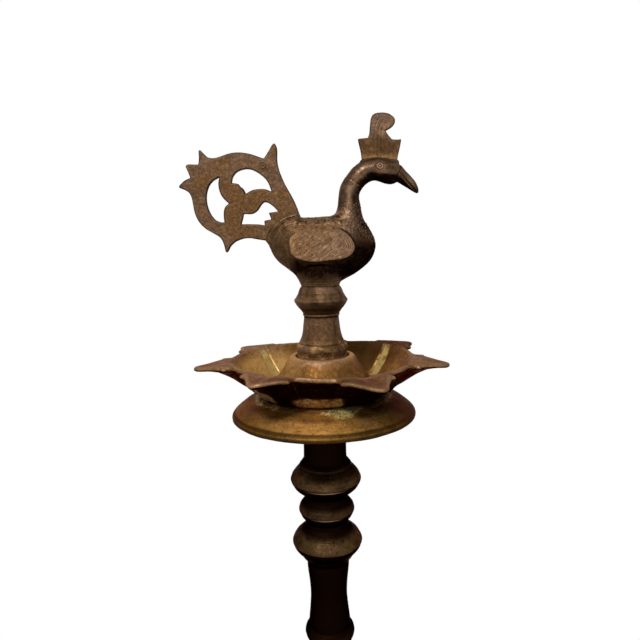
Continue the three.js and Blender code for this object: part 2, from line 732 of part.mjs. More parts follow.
const lamp = new THREE.Group();
lamp.add(
  lifted(0, [named("base_bell", baseBell(), bronze)]),
  lifted(LOWER_SHAFT_Z, [
    named("lower_shaft", lowerShaft(), darkBronze),
    named("base_stud", rod(STUD_RADIUS, -STUD_REACH, STUD_REACH, STUD_SIDES), darkBronze),
  ]),
  lifted(UPPER_SHAFT_Z, [
    named("upper_shaft", upperShaft(), darkBronze),
    named("shaft_stud", rod(STUD_RADIUS, -STUD_REACH, STUD_REACH, STUD_SIDES), darkBronze),
  ]),
  lifted(PAN_Z, [named("drip_pan", dripPan(), goldenBrass)]),
  lifted(0, [
    named("centre_stud", rod(STUD_RADIUS, PAN_Z - STUD_REACH, COLUMN_Z + STUD_REACH, STUD_SIDES), darkBronze),
    named("oil_dish", oilDish(), goldenBrass),
  ]),
  lifted(COLUMN_Z, [named("finial_column", finialColumn(), bronze)]),
  bird,
);

export default lamp;
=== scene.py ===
"""Dresses a standing oil lamp with a peacock finial: its cast pieces, their aged metal and the stage.

Lengths here are millimetres, unless a name says otherwise. Meshes are made in metres.
Each operator makes one piece, or a group of like pieces, on the body that carries it.
"""

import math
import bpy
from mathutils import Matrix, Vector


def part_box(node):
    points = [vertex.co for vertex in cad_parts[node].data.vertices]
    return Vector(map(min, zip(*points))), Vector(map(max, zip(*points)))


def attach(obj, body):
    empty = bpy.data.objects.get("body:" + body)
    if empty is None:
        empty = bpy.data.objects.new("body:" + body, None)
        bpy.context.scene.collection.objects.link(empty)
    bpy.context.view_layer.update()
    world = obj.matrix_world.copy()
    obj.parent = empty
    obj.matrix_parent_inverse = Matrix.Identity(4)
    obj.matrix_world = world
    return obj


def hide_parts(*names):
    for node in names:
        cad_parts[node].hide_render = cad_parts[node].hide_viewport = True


bl_info = {
    "name": "Peacock Oil Lamp",
    "version": (1, 0, 0),
    "blender": (4, 5, 0),
    "location": "View3D > Sidebar > Oil Lamp",
    "description": "Builds the cast pieces of a standing oil lamp and their aged metal",
    "category": "Object",
}

import bmesh
import bpy
import numpy as np
from bpy.props import FloatProperty, FloatVectorProperty, IntProperty, PointerProperty
from mathutils import Matrix, Vector

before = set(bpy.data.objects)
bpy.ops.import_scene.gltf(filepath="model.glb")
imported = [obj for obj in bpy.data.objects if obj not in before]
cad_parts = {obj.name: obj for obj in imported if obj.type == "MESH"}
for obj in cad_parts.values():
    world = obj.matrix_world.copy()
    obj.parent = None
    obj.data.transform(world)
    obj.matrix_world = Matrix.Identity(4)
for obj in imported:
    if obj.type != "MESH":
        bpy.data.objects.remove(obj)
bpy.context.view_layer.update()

MM = 0.001


def low_of(node):
    """Height in millimetres of the lowest point of a node."""
    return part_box(node)[0].z / MM


def high_of(node):
    """Height in millimetres of the highest point of a node."""
    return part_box(node)[1].z / MM


# Heights of the seats, from the frame
LOWER_SHAFT_Z = low_of("lower_shaft")
UPPER_SHAFT_Z = low_of("upper_shaft")
PAN_Z = low_of("drip_pan")
DISH_Z = low_of("oil_dish")
COLUMN_Z = low_of("finial_column")
BIRD_Z = low_of("peacock_body")

# Sizes that the turned pieces share
NECK_RADIUS = 16.5
STUD_RADIUS = 6.0
STUD_BORE = 6.3
BIRD_STUD_RADIUS = 4.5
BIRD_STUD_BORE = 4.8
BORE_DEPTH = 33.0
BIRD_BORE_DEPTH = 17.0

# Oil dish, with heights from the plane of the spouts' tips
DISH_DEPTH = 23.7
RIM_Z = DISH_Z + DISH_DEPTH
DISH_RADIUS = 69.5

# Photograph's camera, from the plane of the spouts' tips
CAMERA_SIDE = -1.0
CAMERA_DISTANCE = 414.2
CAMERA_RISE = 86.7
CAMERA_PITCH = math.radians(7.66)
CAMERA_ROLL = math.radians(1.64)
CAMERA_LENS = 31.22
SENSOR_WIDTH = 36.0


def length_property(name, description, default):
    """A length in metres that the sizes panel shows."""
    return FloatProperty(name=name, description=description, default=default, unit="LENGTH")


class LampSizes(bpy.types.PropertyGroup):
    """Sizes of the lamp's fine shape"""

    spout_count: IntProperty(name="Spouts", description="Number of wick spouts", default=7, min=3, max=12)
    spout_reach: length_property("Spout reach", "From the axis to a spout's tip", 0.0948)
    channel_width: length_property("Channel width", "Width of the wick channel down the bowl", 0.0092)
    channel_depth: length_property("Channel depth", "Depth of the wick channel", 0.0012)
    panel_bulge: length_property("Panel bulge", "How far the bowl's panels bulge inwards", 0.0024)
    dish_wall: length_property("Dish wall", "Thickness of the dish at its rim", 0.0031)
    casting_wave: length_property("Casting wave", "Height of the slow waves of the cast faces", 0.00028)
    casting_grain: length_property("Casting grain", "Height of the grain of the cast faces", 0.00007)
    engraving_depth: length_property("Engraving depth", "Depth of the lines cut into the bird", 0.00035)
    fleck_length: length_property("Fleck length", "Length of a feather fleck on the breast", 0.0015)
    fleck_gap: length_property("Fleck gap", "Least distance between two flecks", 0.0017)


def colour_property(name, description, default):
    """A colour that the finish panel shows."""
    return FloatVectorProperty(
        name=name, description=description, default=default, subtype="COLOR", size=3, min=0.0, max=1.0
    )


class LampFinish(bpy.types.PropertyGroup):
    """Colours of the lamp's metal and of what has settled on it, some of which also paint shade and
    highlights
    """

    bird: colour_property("Bird", "Brown skin of the bird", (0.15, 0.083, 0.047))
    bird_deep: colour_property("Bird, deep", "Darker patches of the bird", (0.082, 0.045, 0.024))
    bird_warm: colour_property("Bird, warm", "Rust-brown patches of the bird", (0.128, 0.06, 0.018))
    brass: colour_property("Dish", "Golden-brown skin of the dish", (0.27, 0.13, 0.038))
    brass_deep: colour_property("Dish, deep", "Darker patches of the dish", (0.15, 0.068, 0.02))
    brass_warm: colour_property("Dish, warm", "Orange patches of the dish", (0.28, 0.12, 0.028))
    pan: colour_property("Pan", "Dark oily brown skin of the drip pan", (0.105, 0.052, 0.004))
    pan_deep: colour_property("Pan, deep", "Darker patches of the pan", (0.05, 0.024, 0.001))
    pan_warm: colour_property("Pan, warm", "Orange patches of the pan", (0.115, 0.054, 0.003))
    # Also painted as a broad highlight over the pan's front and its left end
    pan_gilt_and_sheen: colour_property("Pan, golden", "Golden metal of the pan's rubbed front", (0.54, 0.25, 0.055))
    shaft: colour_property("Shaft", "Near-black skin of the shaft", (0.014, 0.006, 0.002))
    shaft_deep: colour_property("Shaft, deep", "Darkest patches of the shaft", (0.004, 0.002, 0.001))
    shaft_warm: colour_property("Shaft, warm", "Brown patches of the shaft", (0.022, 0.009, 0.003))
    # Also painted as a highlight on the left side of the dish's mound
    gilt_and_sheen: colour_property("Golden skin", "Golden metal kept bright by handling", (0.56, 0.32, 0.105))
    # Also painted as highlights down the bird's neck and on the front of the shaft's upper lips
    rubbed: colour_property("Rubbed edges", "Bare metal on worn edges", (0.43, 0.275, 0.18))
    # Also painted as shade under things, in the shaft's necks and on sides turned from the lamps, and as
    # cast shadows on the pan, the dish and the shaft
    soot: colour_property("Soot", "Oily soot on undersides and in corners", (0.005, 0.002, 0.001))
    green: colour_property("Channel green", "Yellow-green skin in the wick channels", (0.56, 0.39, 0.13))
    crust: colour_property("Crust", "Dry brown crust round the dish's seat", (0.54, 0.33, 0.12))
    verdigris: colour_property("Verdigris", "Pale green scale in the crust", (0.43, 0.35, 0.13))


def mm(length):
    """A property's length in millimetres."""
    return length / MM


# Noise and curves
def lattice_value(cell, seed):
    """A repeatable number from 0 to 1 for each cell of a lattice."""
    key = cell[..., 0] * 73856093 ^ cell[..., 1] * 19349663 ^ cell[..., 2] * 83492791 ^ seed * 2654435761
    key = (key ^ (key >> 13)) * 1274126177 & 0xFFFFFFFF
    key = (key ^ (key >> 16)) * 2246822519 & 0xFFFFFFFF
    return (key ^ (key >> 15)) / 0xFFFFFFFF


def noise(points, size, seed):
    """Smooth noise from -1 to 1 with bumps about `size` across."""
    place = points / size
    cell = np.floor(place).astype(np.int64)
    part = place - cell
    part = part * part * (3 - 2 * part)
    total = np.zeros(len(points))
    for corner in np.ndindex(2, 2, 2):
        weight = np.where(np.array(corner) == 1, part, 1 - part).prod(axis=1)
        total += weight * lattice_value(cell + corner, seed)
    return total * 2 - 1


THREE_LAYERS = 1 + 1 / 2 + 1 / 4  # the most that three layers of noise add up to


def layered_noise(points, size, seed, layers=3):
    """Noise with finer and weaker layers on top."""
    total = np.zeros(len(points))
    for layer in range(layers):
        total += noise(points, size / 2**layer, seed + layer) / 2**layer
    return total / THREE_LAYERS


def ramp(value, start, end):
    """A smooth step from 0 at start to 1 at end."""
    share = np.clip((value - start) / (end - start), 0, 1)
    return share * share * (3 - 2 * share)


def bell(away, reach):
    """1 at no distance, falling off softly over `reach`."""
    return np.exp(-((away / reach) ** 2))


def strongest(*masks):
    """The highest of several masks at each point."""
    return np.maximum.reduce(masks)


def full_turn(sides):
    """The angles of a number of sides round a full turn."""
    return np.linspace(0, 2 * math.pi, sides, endpoint=False)


def polar(radius, angle):
    """Places in a plane at a radius and an angle."""
    return np.stack([radius * np.cos(angle), radius * np.sin(angle)], axis=-1)


def spline(points, step=0.5):
    """A Catmull-Rom curve through the points, with a point about every `step`."""
    knots = np.asarray(points, float)
    if len(knots) < 3:
        return resampled(knots, step)
    padded = np.vstack([2 * knots[0] - knots[1], knots, 2 * knots[-1] - knots[-2]])
    t = np.linspace(0, 1, 16, endpoint=False)[:, None]
    runs = []
    for i in range(len(knots) - 1):
        a, b, c, d = padded[i : i + 4]
        runs.append(
            0.5 * (2 * b + (c - a) * t + (2 * a - 5 * b + 4 * c - d) * t**2 + (3 * b - a - 3 * c + d) * t**3)
        )
    return resampled(np.vstack([*runs, knots[-1:]]), step)


def resampled(points, step, closed=False):
    """A polyline with its points about `step` apart."""
    line = np.asarray(points, float)
    if closed:
        line = np.vstack([line, line[:1]])
    along = np.r_[0, np.cumsum(np.linalg.norm(np.diff(line, axis=0), axis=1))]
    count = max(int(round(along[-1] / step)), 2)
    at = np.linspace(0, along[-1], count + 1)
    if closed:
        at = at[:-1]
    return np.stack([np.interp(at, along, line[:, k]) for k in range(line.shape[1])], axis=1)


def outline(runs):
    """A closed outline from smooth runs that meet at corners; each starts where the one before ends."""
    return np.vstack([spline([before[-1], *run])[:-1] for before, run in zip([runs[-1], *runs], runs)])


def eased(points, reach, closed=False):
    """A polyline with its corners rounded over about `reach` points; open ends stay."""
    width = int(math.ceil(reach * 3))
    if width < 1:
        return points
    if closed:
        padded = np.vstack([points[-width:], points, points[:width]])
    else:
        before = 2 * points[0] - points[width:0:-1]
        after = 2 * points[-1] - points[-2 : -width - 2 : -1]
        padded = np.vstack([before, points, after])
    kernel = np.exp(-0.5 * (np.arange(-width, width + 1) / reach) ** 2)
    kernel /= kernel.sum()
    return np.stack([np.convolve(padded[:, k], kernel, "valid") for k in range(points.shape[1])], axis=1)


# Meshes from arrays
def object_of(name, points, faces):
    """An object whose mesh has these points, in millimetres, and faces of 3 or 4 corners."""
    mesh = bpy.data.meshes.new(name)
    corners = np.concatenate([np.ravel(group) for group in faces]).astype(np.int32)
    sizes = np.concatenate([np.full(len(group), group.shape[1]) for group in faces])
    mesh.vertices.add(len(points))
    mesh.vertices.foreach_set("co", (points * MM).astype(np.float32).ravel())
    mesh.loops.add(len(corners))
    mesh.loops.foreach_set("vertex_index", corners)
    mesh.polygons.add(len(sizes))
    mesh.polygons.foreach_set("loop_start", (np.cumsum(sizes) - sizes).astype(np.int32))
    mesh.update(calc_edges=True)
    mesh.validate()
    return object_from(name, mesh)


def object_from(name, mesh):
    """An object in the scene with this mesh, shaded smooth."""
    mesh.shade_smooth()
    thing = bpy.data.objects.new(name, mesh)
    bpy.context.scene.collection.objects.link(thing)
    return thing


def numbers_of(items, name, width, kind=np.float32):
    """One property of all vertices, edges or loops of a mesh, with a row for each."""
    values = np.empty(len(items) * width, kind)
    items.foreach_get(name, values)
    return values.reshape(-1, width)


def points_of(thing):
    """Vertices of an object in millimetres."""
    return numbers_of(thing.data.vertices, "co", 3).astype(float) / MM


def set_points(thing, points):
    """Moves the vertices of an object to these places in millimetres."""
    thing.data.vertices.foreach_set("co", (points * MM).astype(np.float32).ravel())
    thing.data.update()


def normals_of(thing):
    """Vertex normals of an object."""
    return numbers_of(thing.data.vertices, "normal", 3).astype(float)


def raised(thing, height):
    """Moves each vertex out along its normal by its height."""
    set_points(thing, points_of(thing) + normals_of(thing) * height[:, None])


def edges_of(thing):
    """Vertex pairs of an object's edges."""
    return numbers_of(thing.data.edges, "vertices", 2, np.int32)


def neighbour_mean(values, edges):
    """For each vertex, the mean of the values at its neighbours."""
    count = np.bincount(edges.ravel(), minlength=len(values))
    columns = []
    for column in values.T:
        total = np.bincount(edges[:, 0], column[edges[:, 1]], len(values))
        total += np.bincount(edges[:, 1], column[edges[:, 0]], len(values))
        columns.append(total / np.maximum(count, 1))
    return np.stack(columns, axis=1)


def smoothed(thing, rounds, where=None):
    """Draws each vertex towards its neighbours, as far as `where` says from 0 to 1."""
    points = points_of(thing)
    edges = edges_of(thing)
    weight = 0.5 if where is None else 0.5 * where(points)[:, None]
    for _ in range(rounds):
        points += (neighbour_mean(points, edges) - points) * weight
    set_points(thing, points)


def cast_part(name, points, quads):
    """An object from one group of faces, all turned outwards."""
    thing = object_of(name, points, [quads])
    outward(thing)
    return thing


def outward(thing):
    """Turns all the faces of a closed mesh outwards."""
    work = bmesh.new()
    work.from_mesh(thing.data)
    bmesh.ops.recalc_face_normals(work, faces=work.faces)
    work.to_mesh(thing.data)
    work.free()


def roughened(thing, sizes, seed, still=None):
    """Gives a cast face its slow waves and its grain. `still` is 1 where the face stays true."""
    points = points_of(thing)
    height = layered_noise(points, 13.0, seed, 2) * mm(sizes.casting_wave)
    height += layered_noise(points, 1.7, seed + 7, 2) * mm(sizes.casting_grain)
    if still is not None:
        height *= 1 - still(points)
    raised(thing, height)


def store(thing, name, values):
    """A number on each vertex that the material reads."""
    layer = thing.data.attributes.new(name, "FLOAT", "POINT")
    layer.data.foreach_set("value", np.asarray(values, np.float32))


class Face:
    """A piece's vertices as the rules for its soot and painted shade, golden skin and painted highlights,
    rust and wear read them; z is over its base.
    """

    def __init__(self, thing, base=0.0):
        self.points = points_of(thing)
        self.local = self.points - [0, 0, base]
        self.x, self.y, self.z = self.local.T
        self.nx, self.ny, self.nz = normals_of(thing).T
        self.radius = np.hypot(self.x, self.y)
        self.turn = np.arctan2(self.x, -self.y)

    def noise(self, size, seed, stretch=(1, 1, 1)):
        """Layered noise at the vertices."""
        return layered_noise(self.points * stretch, size, seed)


def nowhere(face):
    """The rule for a mark that a piece doesn't have."""
    return np.zeros(len(face.points))


def aged(
    thing, base=0.0, soot=nowhere, green=nowhere, gold=nowhere, rust=nowhere, wear_and_sheen=nowhere, rub=1.0,
    dirt=0.8, rounds=10, edge=0.1, seed=1,
):
    """Stores where the metal is rubbed bright or carries a painted highlight, where it is sooty or carries
    painted shade, and where it is green, golden or rusty brown.
    """
    face = Face(thing, base)
    edges = edges_of(thing)
    around = face.points
    for _ in range(rounds):
        around = neighbour_mean(around, edges)
    relief = ((face.points - around) * normals_of(thing)).sum(axis=1)
    patchy = 0.65 + 0.5 * face.noise(5.0, seed + 40)
    corners = ramp(relief, edge * 0.2, edge) * np.clip(patchy, 0, 1) * rub
    hollows = ramp(-relief, edge * 0.25, edge * 1.2) * dirt
    # Dirt in the hollows, with the piece's soot and painted shade
    grime_and_shade = np.clip(np.maximum(hollows, soot(face)), 0, 1)
    # Rubbed edges, with the piece's own wear and painted highlights
    store(thing, "rubbed", np.maximum(corners, wear_and_sheen(face)) * (1 - 0.7 * grime_and_shade))
    store(thing, "soot", grime_and_shade)
    # Golden skin, and on the pan and the dish's mound also painted highlights
    for name, rule in (("green", green), ("gold", gold), ("rust", rust)):
        store(thing, name, np.clip(rule(face), 0, 1))


# Turned pieces
def ring_quads(lower, upper):
    """Faces between rows of a grid of vertex numbers that closes on itself sideways."""
    quads = np.stack([lower, np.roll(lower, -1, axis=1), np.roll(upper, -1, axis=1), upper], axis=-1)
    return quads.reshape(-1, 4)


def skin(rings, ends=None):
    """A closed skin over rings, with a fan at each end."""
    count, sides, _ = rings.shape
    index = np.arange(count * sides).reshape(count, sides)
    if ends is None:
        ends = rings[[0, -1]].mean(axis=1)
    first = np.full(sides, count * sides)
    fans = [
        np.stack([first, np.roll(index[0], -1), index[0]], axis=1),
        np.stack([first + 1, index[-1], np.roll(index[-1], -1)], axis=1),
    ]
    return np.vstack([rings.reshape(-1, 3), ends]), [ring_quads(index[:-1], index[1:]), *fans]


def turned(name, profile, height, sides=144, step=0.6, rounding=0.5):
    """A turned piece from corners [radius, height]; a profile off the axis closes on itself."""
    closed = profile[0][0] > 0
    line = eased(resampled(profile, step, closed), rounding / step, closed)
    rows = line if closed else line[1:-1]
    rings = np.empty((len(rows), sides, 3))
    rings[:, :, :2] = np.maximum(rows[:, None, :1], 0) * polar(1, full_turn(sides))
    rings[:, :, 2] = rows[:, 1:] + height
    if closed:
        index = np.arange(len(rows) * sides).reshape(len(rows), sides)
        return object_of(name, rings.reshape(-1, 3), [ring_quads(index, np.roll(index, -1, axis=0))])
    ends = [[0, 0, line[0, 1] + height], [0, 0, line[-1, 1] + height]]
    return object_of(name, *skin(rings, ends))


def radius_of(points):
    """Distance of each point from the lamp's axis."""
    return np.hypot(points[:, 0], points[:, 1])


def near_axis(start, end):
    """A rule that is 1 within `end` of the axis and fades out at `start`."""
    return lambda points: ramp(radius_of(points), start, end)


def underside(face):
    """Painted shade on faces that look down, which are sooty as well."""
    return ramp(-face.nz, 0.15, 0.75) * (0.75 + 0.25 * face.noise(8.0, 90))


FOOT_RADIUS = 114.8
FOOT_HEIGHT = 110.0
FOOT_RIM_HEIGHT = 9.0


def foot_profile():
    """The bell-shaped foot, hollow below, from the axis under its roof round to its bore."""
    top = FOOT_HEIGHT
    flare = spline([[97, 20], [84, 34], [56, 47], [33, 64], [20, 84]], 2)
    bore = [[STUD_BORE, top - BORE_DEPTH], [0, top - BORE_DEPTH]]
    inner = spline([[92.5, 16], [80, 28.5], [51.5, 41.5], [30, 57], [18, 68]], 2)
    bead = [[22, top - 22], [24, top - 17], [22, top - 12], [NECK_RADIUS, top - 8]]
    seat = [[NECK_RADIUS + 1, top - 1], [NECK_RADIUS + 1, top], [STUD_BORE, top]]
    roof = top - BORE_DEPTH - 4.5
    return [
        [0, roof], [14, roof], *inner[::-1].tolist(), [94, 10], [105, 4.5], [106, 0], [FOOT_RADIUS, 0],
        [FOOT_RADIUS, FOOT_RIM_HEIGHT - 2], [FOOT_RADIUS - 2, FOOT_RIM_HEIGHT], [103.5, 11], [102, 14],
        *flare.tolist(), [20.5, top - 24], *bead, *seat, *bore,
    ]


BIG_RING_HEIGHT = 32.5
SMALL_RING_HEIGHT = 17.0
RING_SPACE = 1.2
RING_GROUP_HEIGHT = 2 * BIG_RING_HEIGHT + SMALL_RING_HEIGHT + 2 * RING_SPACE


def big_ring(top, flipped=False):
    """Outline down a large ring of the shaft: shoulder, swelling face, lip and undercut."""
    neck = NECK_RADIUS
    shares = [
        [neck, 0], [17.6, 0.055], [19.8, 0.14], [20.4, 0.155], [20.1, 0.178], [20.9, 0.2], [22.4, 0.255],
        [24.1, 0.31], [26.2, 0.4], [26.9, 0.455], [26.8, 0.472], [27.5, 0.49], [27.5, 0.535], [26.8, 0.585],
        [24.9, 0.69], [23.2, 0.74], [20.1, 0.82], [18.2, 0.87], [neck + 0.4, 0.92], [neck + 0.2, 1],
    ]
    if flipped:
        return [[r, top - BIG_RING_HEIGHT * (1 - share)] for r, share in reversed(shares)]
    return [[r, top - BIG_RING_HEIGHT * share] for r, share in shares]


def small_ring(top):
    """Outline down a small ring of the shaft, rounded above and lipped below."""
    shares = [
        [16.9, 0], [18.2, 0.06], [19.6, 0.16], [20.8, 0.255], [21.4, 0.34], [21.3, 0.37], [21.8, 0.41],
        [21.8, 0.49], [21.2, 0.57], [19.8, 0.75], [18.2, 0.86], [NECK_RADIUS, 1],
    ]
    return [[r, top - SMALL_RING_HEIGHT * share] for r, share in shares]


def ring_group(top):
    """A large ring, a small one and a large one turned over."""
    second = top - BIG_RING_HEIGHT - RING_SPACE
    third = second - SMALL_RING_HEIGHT - RING_SPACE
    return [*big_ring(top), *small_ring(second), *big_ring(third, flipped=True)]


def shaft_profile(length, rings_top, below, above):
    """A shaft from the end of its lower bore, up its outside and back down its upper bore."""
    collar = [[NECK_RADIUS + 1, 0], [19.2, 2.2], [20, 5.5], [19.2, 8.8], [NECK_RADIUS, 11]]
    lower = [[0, BORE_DEPTH], [STUD_BORE, BORE_DEPTH], [STUD_BORE, 0]]
    upper = [[STUD_BORE, length], [STUD_BORE, length - BORE_DEPTH], [0, length - BORE_DEPTH]]
    rings = ring_group(rings_top)[::-1]
    return [*lower, *collar, *below, *rings, *above, *upper]


UPPER_SHAFT_LENGTH = 181.0
UPPER_RINGS_TOP = UPPER_SHAFT_LENGTH - 29.7
LOWER_SHAFT_LENGTH = 222.0
LOWER_RINGS_TOP = 11 + 6 + RING_GROUP_HEIGHT


def lower_shaft_profile():
    """The lower shaft: rings at its foot and a long taper above them."""
    taper = spline([[NECK_RADIUS, LOWER_RINGS_TOP + 6], [14.5, 162], [15.1, 200], [17.5, 221]], 2)
    above = [*taper.tolist(), [17.2, LOWER_SHAFT_LENGTH]]
    return shaft_profile(LOWER_SHAFT_LENGTH, LOWER_RINGS_TOP, [], above)


def upper_shaft_profile():
    """The upper shaft: a waist above its foot, and the rings under its plain neck."""
    bottom = UPPER_RINGS_TOP - RING_GROUP_HEIGHT
    waist = spline([[NECK_RADIUS, 15], [14.5, (bottom + 11) / 2], [NECK_RADIUS, bottom - 4]], 2)
    neck = [[16.6, UPPER_SHAFT_LENGTH - 12], [16.8, UPPER_SHAFT_LENGTH]]
    return shaft_profile(UPPER_SHAFT_LENGTH, UPPER_RINGS_TOP, waist.tolist(), neck)


def pan_profile():
    """The drip pan: hub, hollow underside, thick lip and domed top, round its bore."""
    top = 22.3
    dome = [
        [69.9, top - 15.6], [69.6, top - 14.2], [68.0, top - 12.2], [65.6, top - 10.2], [62.2, top - 7.6],
        [60.0, top - 6.0], [58.4, top - 5.2], [56, top - 4.4], [50, top - 2.4], [40, top - 0.7], [28, top],
    ]
    hub = [[STUD_BORE, 0], [18, 0], [19, 1], [19, 15]]
    hollow = [[28, 18.9], [40, 18.4], [50, 16.6], [58, 13.8], [62.6, 11.2], [65.6, 8.4], [66.8, 6.6]]
    lip = [[68.0, 5.2], [69.3, 5.4]]
    return [*hub, *hollow, *lip, *dome, [STUD_BORE, top]]


def column_profile():
    """The turned column: ringed foot, waisted shank, bead, sharp knob and cone."""
    top = 55.7
    shank = spline([[17.0, 13.6], [15.3, 17.1], [14.1, 22], [13.5, 28], [13.1, 32]], 1.5)
    return [
        [0, BORE_DEPTH], [STUD_BORE, BORE_DEPTH], [STUD_BORE, 0], [18.6, 0], [19.2, 0.9], [18.7, 4.6],
        [19.5, 8.2], [19.2, 10.6], [18.2, 12.2], [17.1, 12.9], *shank.tolist(), [13.1, 33.2], [13.9, 33.9],
        [13.9, 34.7], [13.5, 35.1], [15.4, 38], [17.4, 40.2], [18.9, 42.4], [20.1, 44.8], [20.1, 45.5],
        [18.9, 46.9], [17.3, 49.6], [16.9, 50.0], [16.6, 51.5], [15.2, 54.6], [14.3, 55.7],
        [BIRD_STUD_BORE, top], [BIRD_STUD_BORE, top - BIRD_BORE_DEPTH], [0, top - BIRD_BORE_DEPTH],
    ]


def stud_profile(radius, length):
    """A plain stud with rounded ends, about its own foot."""
    soft = radius * 0.2
    return [
        [0, 0], [radius - soft, 0], [radius, soft], [radius, length / 2 - 0.8], [radius - 0.3, length / 2],
        [radius, length / 2 + 0.8], [radius, length - soft], [radius - soft, length], [0, length],
    ]


# Oil dish
SPOUT_TURN = -2.34  # degrees of the star about the axis
SPOUT_EDGE = [  # along a spout and half across it, from tip to notch
    [94.8, 0.0], [94.3, 1.9], [92.6, 4.2], [89.6, 6.2], [85, 8.8], [80.4, 12.2], [76.6, 15.3],
    [75.6, 16.2], [75.4, 19.3], [74.4, 20.0], [71.4, 18.9], [68.5, 19.0],
]
SPOUT_ROOT = 75  # where a spout of another reach begins to be stretched
SPOUT_SETS = [  # turn in degrees, reach as a share and lift of each spout, from the front right on
    [-0.3, 1.0, -0.6], [0.6, 0.996, 0.4], [-0.5, 0.985, 3.0], [0.4, 0.99, 0.8], [-0.8, 0.975, 1.6],
    [-1.2, 1.012, 0.9], [-3.0, 0.94, 1.5],
]
KEEL = [  # radius and height of the underside under a spout
    [0, -DISH_DEPTH], [44, -DISH_DEPTH], [47, -22.6], [53, -19.2], [57.7, -16.4], [64.5, -12.5], [71, -8.6],
    [78, -5.3], [83, -4.4], [88, -3.8], [91, -3.2], [95, -2.4],
]
VALLEY = [  # and between two spouts
    [0, -DISH_DEPTH], [44, -DISH_DEPTH], [47.5, -22.6], [50.5, -20.0], [52.5, -15.6], [58, -10.8],
    [63, -6.6], [67, -3.0], [69.5, -1.2], [95, -1.2],
]
MOUND = [  # radius and height of the raised socket's top and side
    [STUD_BORE, 1.0], [19.4, 1.0], [19.8, 1.2], [19.9, 3.8], [20.7, 4.6], [23.3, 4.6], [24.5, 3.6],
    [26.6, 0.2], [30.5, -6.2], [35.5, -12.8], [41, -17.6], [47, -20.2],
]
WALL = [  # and of the bowl's wall inside
    [47, -20.2], [51, -18.6], [56, -13.6], [61, -8.0], [65, -3.0], [67.2, -0.4], [68.4, 0.0],
]


def spout_turns(sizes):
    """Angle about the axis of each spout, its reach as a share and the lift of its tip."""
    step = 360 / sizes.spout_count
    turns = []
    for i in range(sizes.spout_count):
        turn, reach, lift = SPOUT_SETS[i % len(SPOUT_SETS)]
        turns.append([math.radians(i * step - 90 + step / 2 + SPOUT_TURN + turn), reach, lift])
    return turns


def star_outline(sizes):
    """The dish's edge in plan: pointed spouts with cusps at their roots, and the round rim between."""
    corners = []
    tip = SPOUT_EDGE[0][0]
    grow = mm(sizes.spout_reach) / tip
    turns = spout_turns(sizes)
    for i, (turn, reach, _) in enumerate(turns):
        side = np.array(SPOUT_EDGE)
        far = side[:, 0] > SPOUT_ROOT
        stretch = (reach * tip - SPOUT_ROOT) / (tip - SPOUT_ROOT)
        side[far, 0] = SPOUT_ROOT + (side[far, 0] * grow - SPOUT_ROOT) * stretch
        spout = np.vstack([side[::-1] * [1, -1], side[1:]])
        angles = np.arctan2(spout[:, 1], spout[:, 0]) + turn
        corners.append(polar(np.hypot(spout[:, 0], spout[:, 1]), angles))
        end = angles[-1]
        start = turns[(i + 1) % len(turns)][0] - math.atan2(SPOUT_EDGE[-1][1], SPOUT_EDGE[-1][0])
        gap = (start - end) % (2 * math.pi)
        corners.append(polar(DISH_RADIUS, end + gap * np.linspace(0, 1, 9)[1:-1]))
    return eased(resampled(np.vstack(corners), 0.4, closed=True), 1.8, closed=True)


def spout_place(points, sizes):
    """Distance along and across the nearest spout, and the turn from it as a share of half a step."""
    turns = np.array([turn for turn, _, _ in spout_turns(sizes)])
    angle = np.arctan2(points[:, 1], points[:, 0])
    away = (angle[:, None] - turns[None] + math.pi) % (2 * math.pi) - math.pi
    nearest = np.abs(away).argmin(axis=1)
    off = away[np.arange(len(points)), nearest]
    radius = radius_of(points)
    half_step = math.pi / sizes.spout_count
    return radius * np.cos(off), radius * np.sin(off), np.clip(np.abs(off) / half_step, 0, 1)


def rim_lift(points, sizes):
    """How far the uneven casting lifts or sinks the rim and the spouts."""
    turns = spout_turns(sizes)
    angles = np.array([turn for turn, _, _ in turns])
    lifts = np.array([lift for _, _, lift in turns])
    around = np.arctan2(points[:, 1], points[:, 0])
    share = (1 + np.cos(around[:, None] - angles[None])) / 2
    weight = share ** (sizes.spout_count * 3)
    lift = (weight * lifts).sum(axis=1) / weight.sum(axis=1)
    return lift * ramp(radius_of(points), 52, 76)


def read(table, at):
    """A value read between the rows of a table."""
    rows = np.asarray(table, float)
    return np.interp(at, rows[:, 0], rows[:, 1])


def dish_top(points, sizes):
    """Height of the dish's upper face over the plane of the spouts' tips."""
    radius = radius_of(points)
    _, across, turn = spout_place(points, sizes)
    rise = 1.9 * ramp(radius, 96, 71)
    wall = read(WALL, radius) + rise * ramp(radius, 60, 68)
    swell = np.sin(np.clip((radius - 49) / 17, 0, 1) * math.pi) * np.sin(turn * math.pi / 2)
    face = np.where(radius < 47, read(MOUND, radius), wall + mm(sizes.panel_bulge) * swell)
    half = mm(sizes.channel_width) / 2
    depth = mm(sizes.channel_depth)
    down = ramp(radius, 49, 53) * ramp(radius, 72, 66)
    channel = depth * down * ramp(np.abs(across), half + 0.7, half - 0.5)
    crease = 0.5 * ramp(radius, 64, 70) * ramp(radius, 94, 86) * ramp(np.abs(across), 4.5, 0.0)
    lip = 0.5 * ramp(radius, 66.2, 67.6) * ramp(radius, 70.5, 68.6)
    return face - channel - crease + lip + rim_lift(points, sizes)


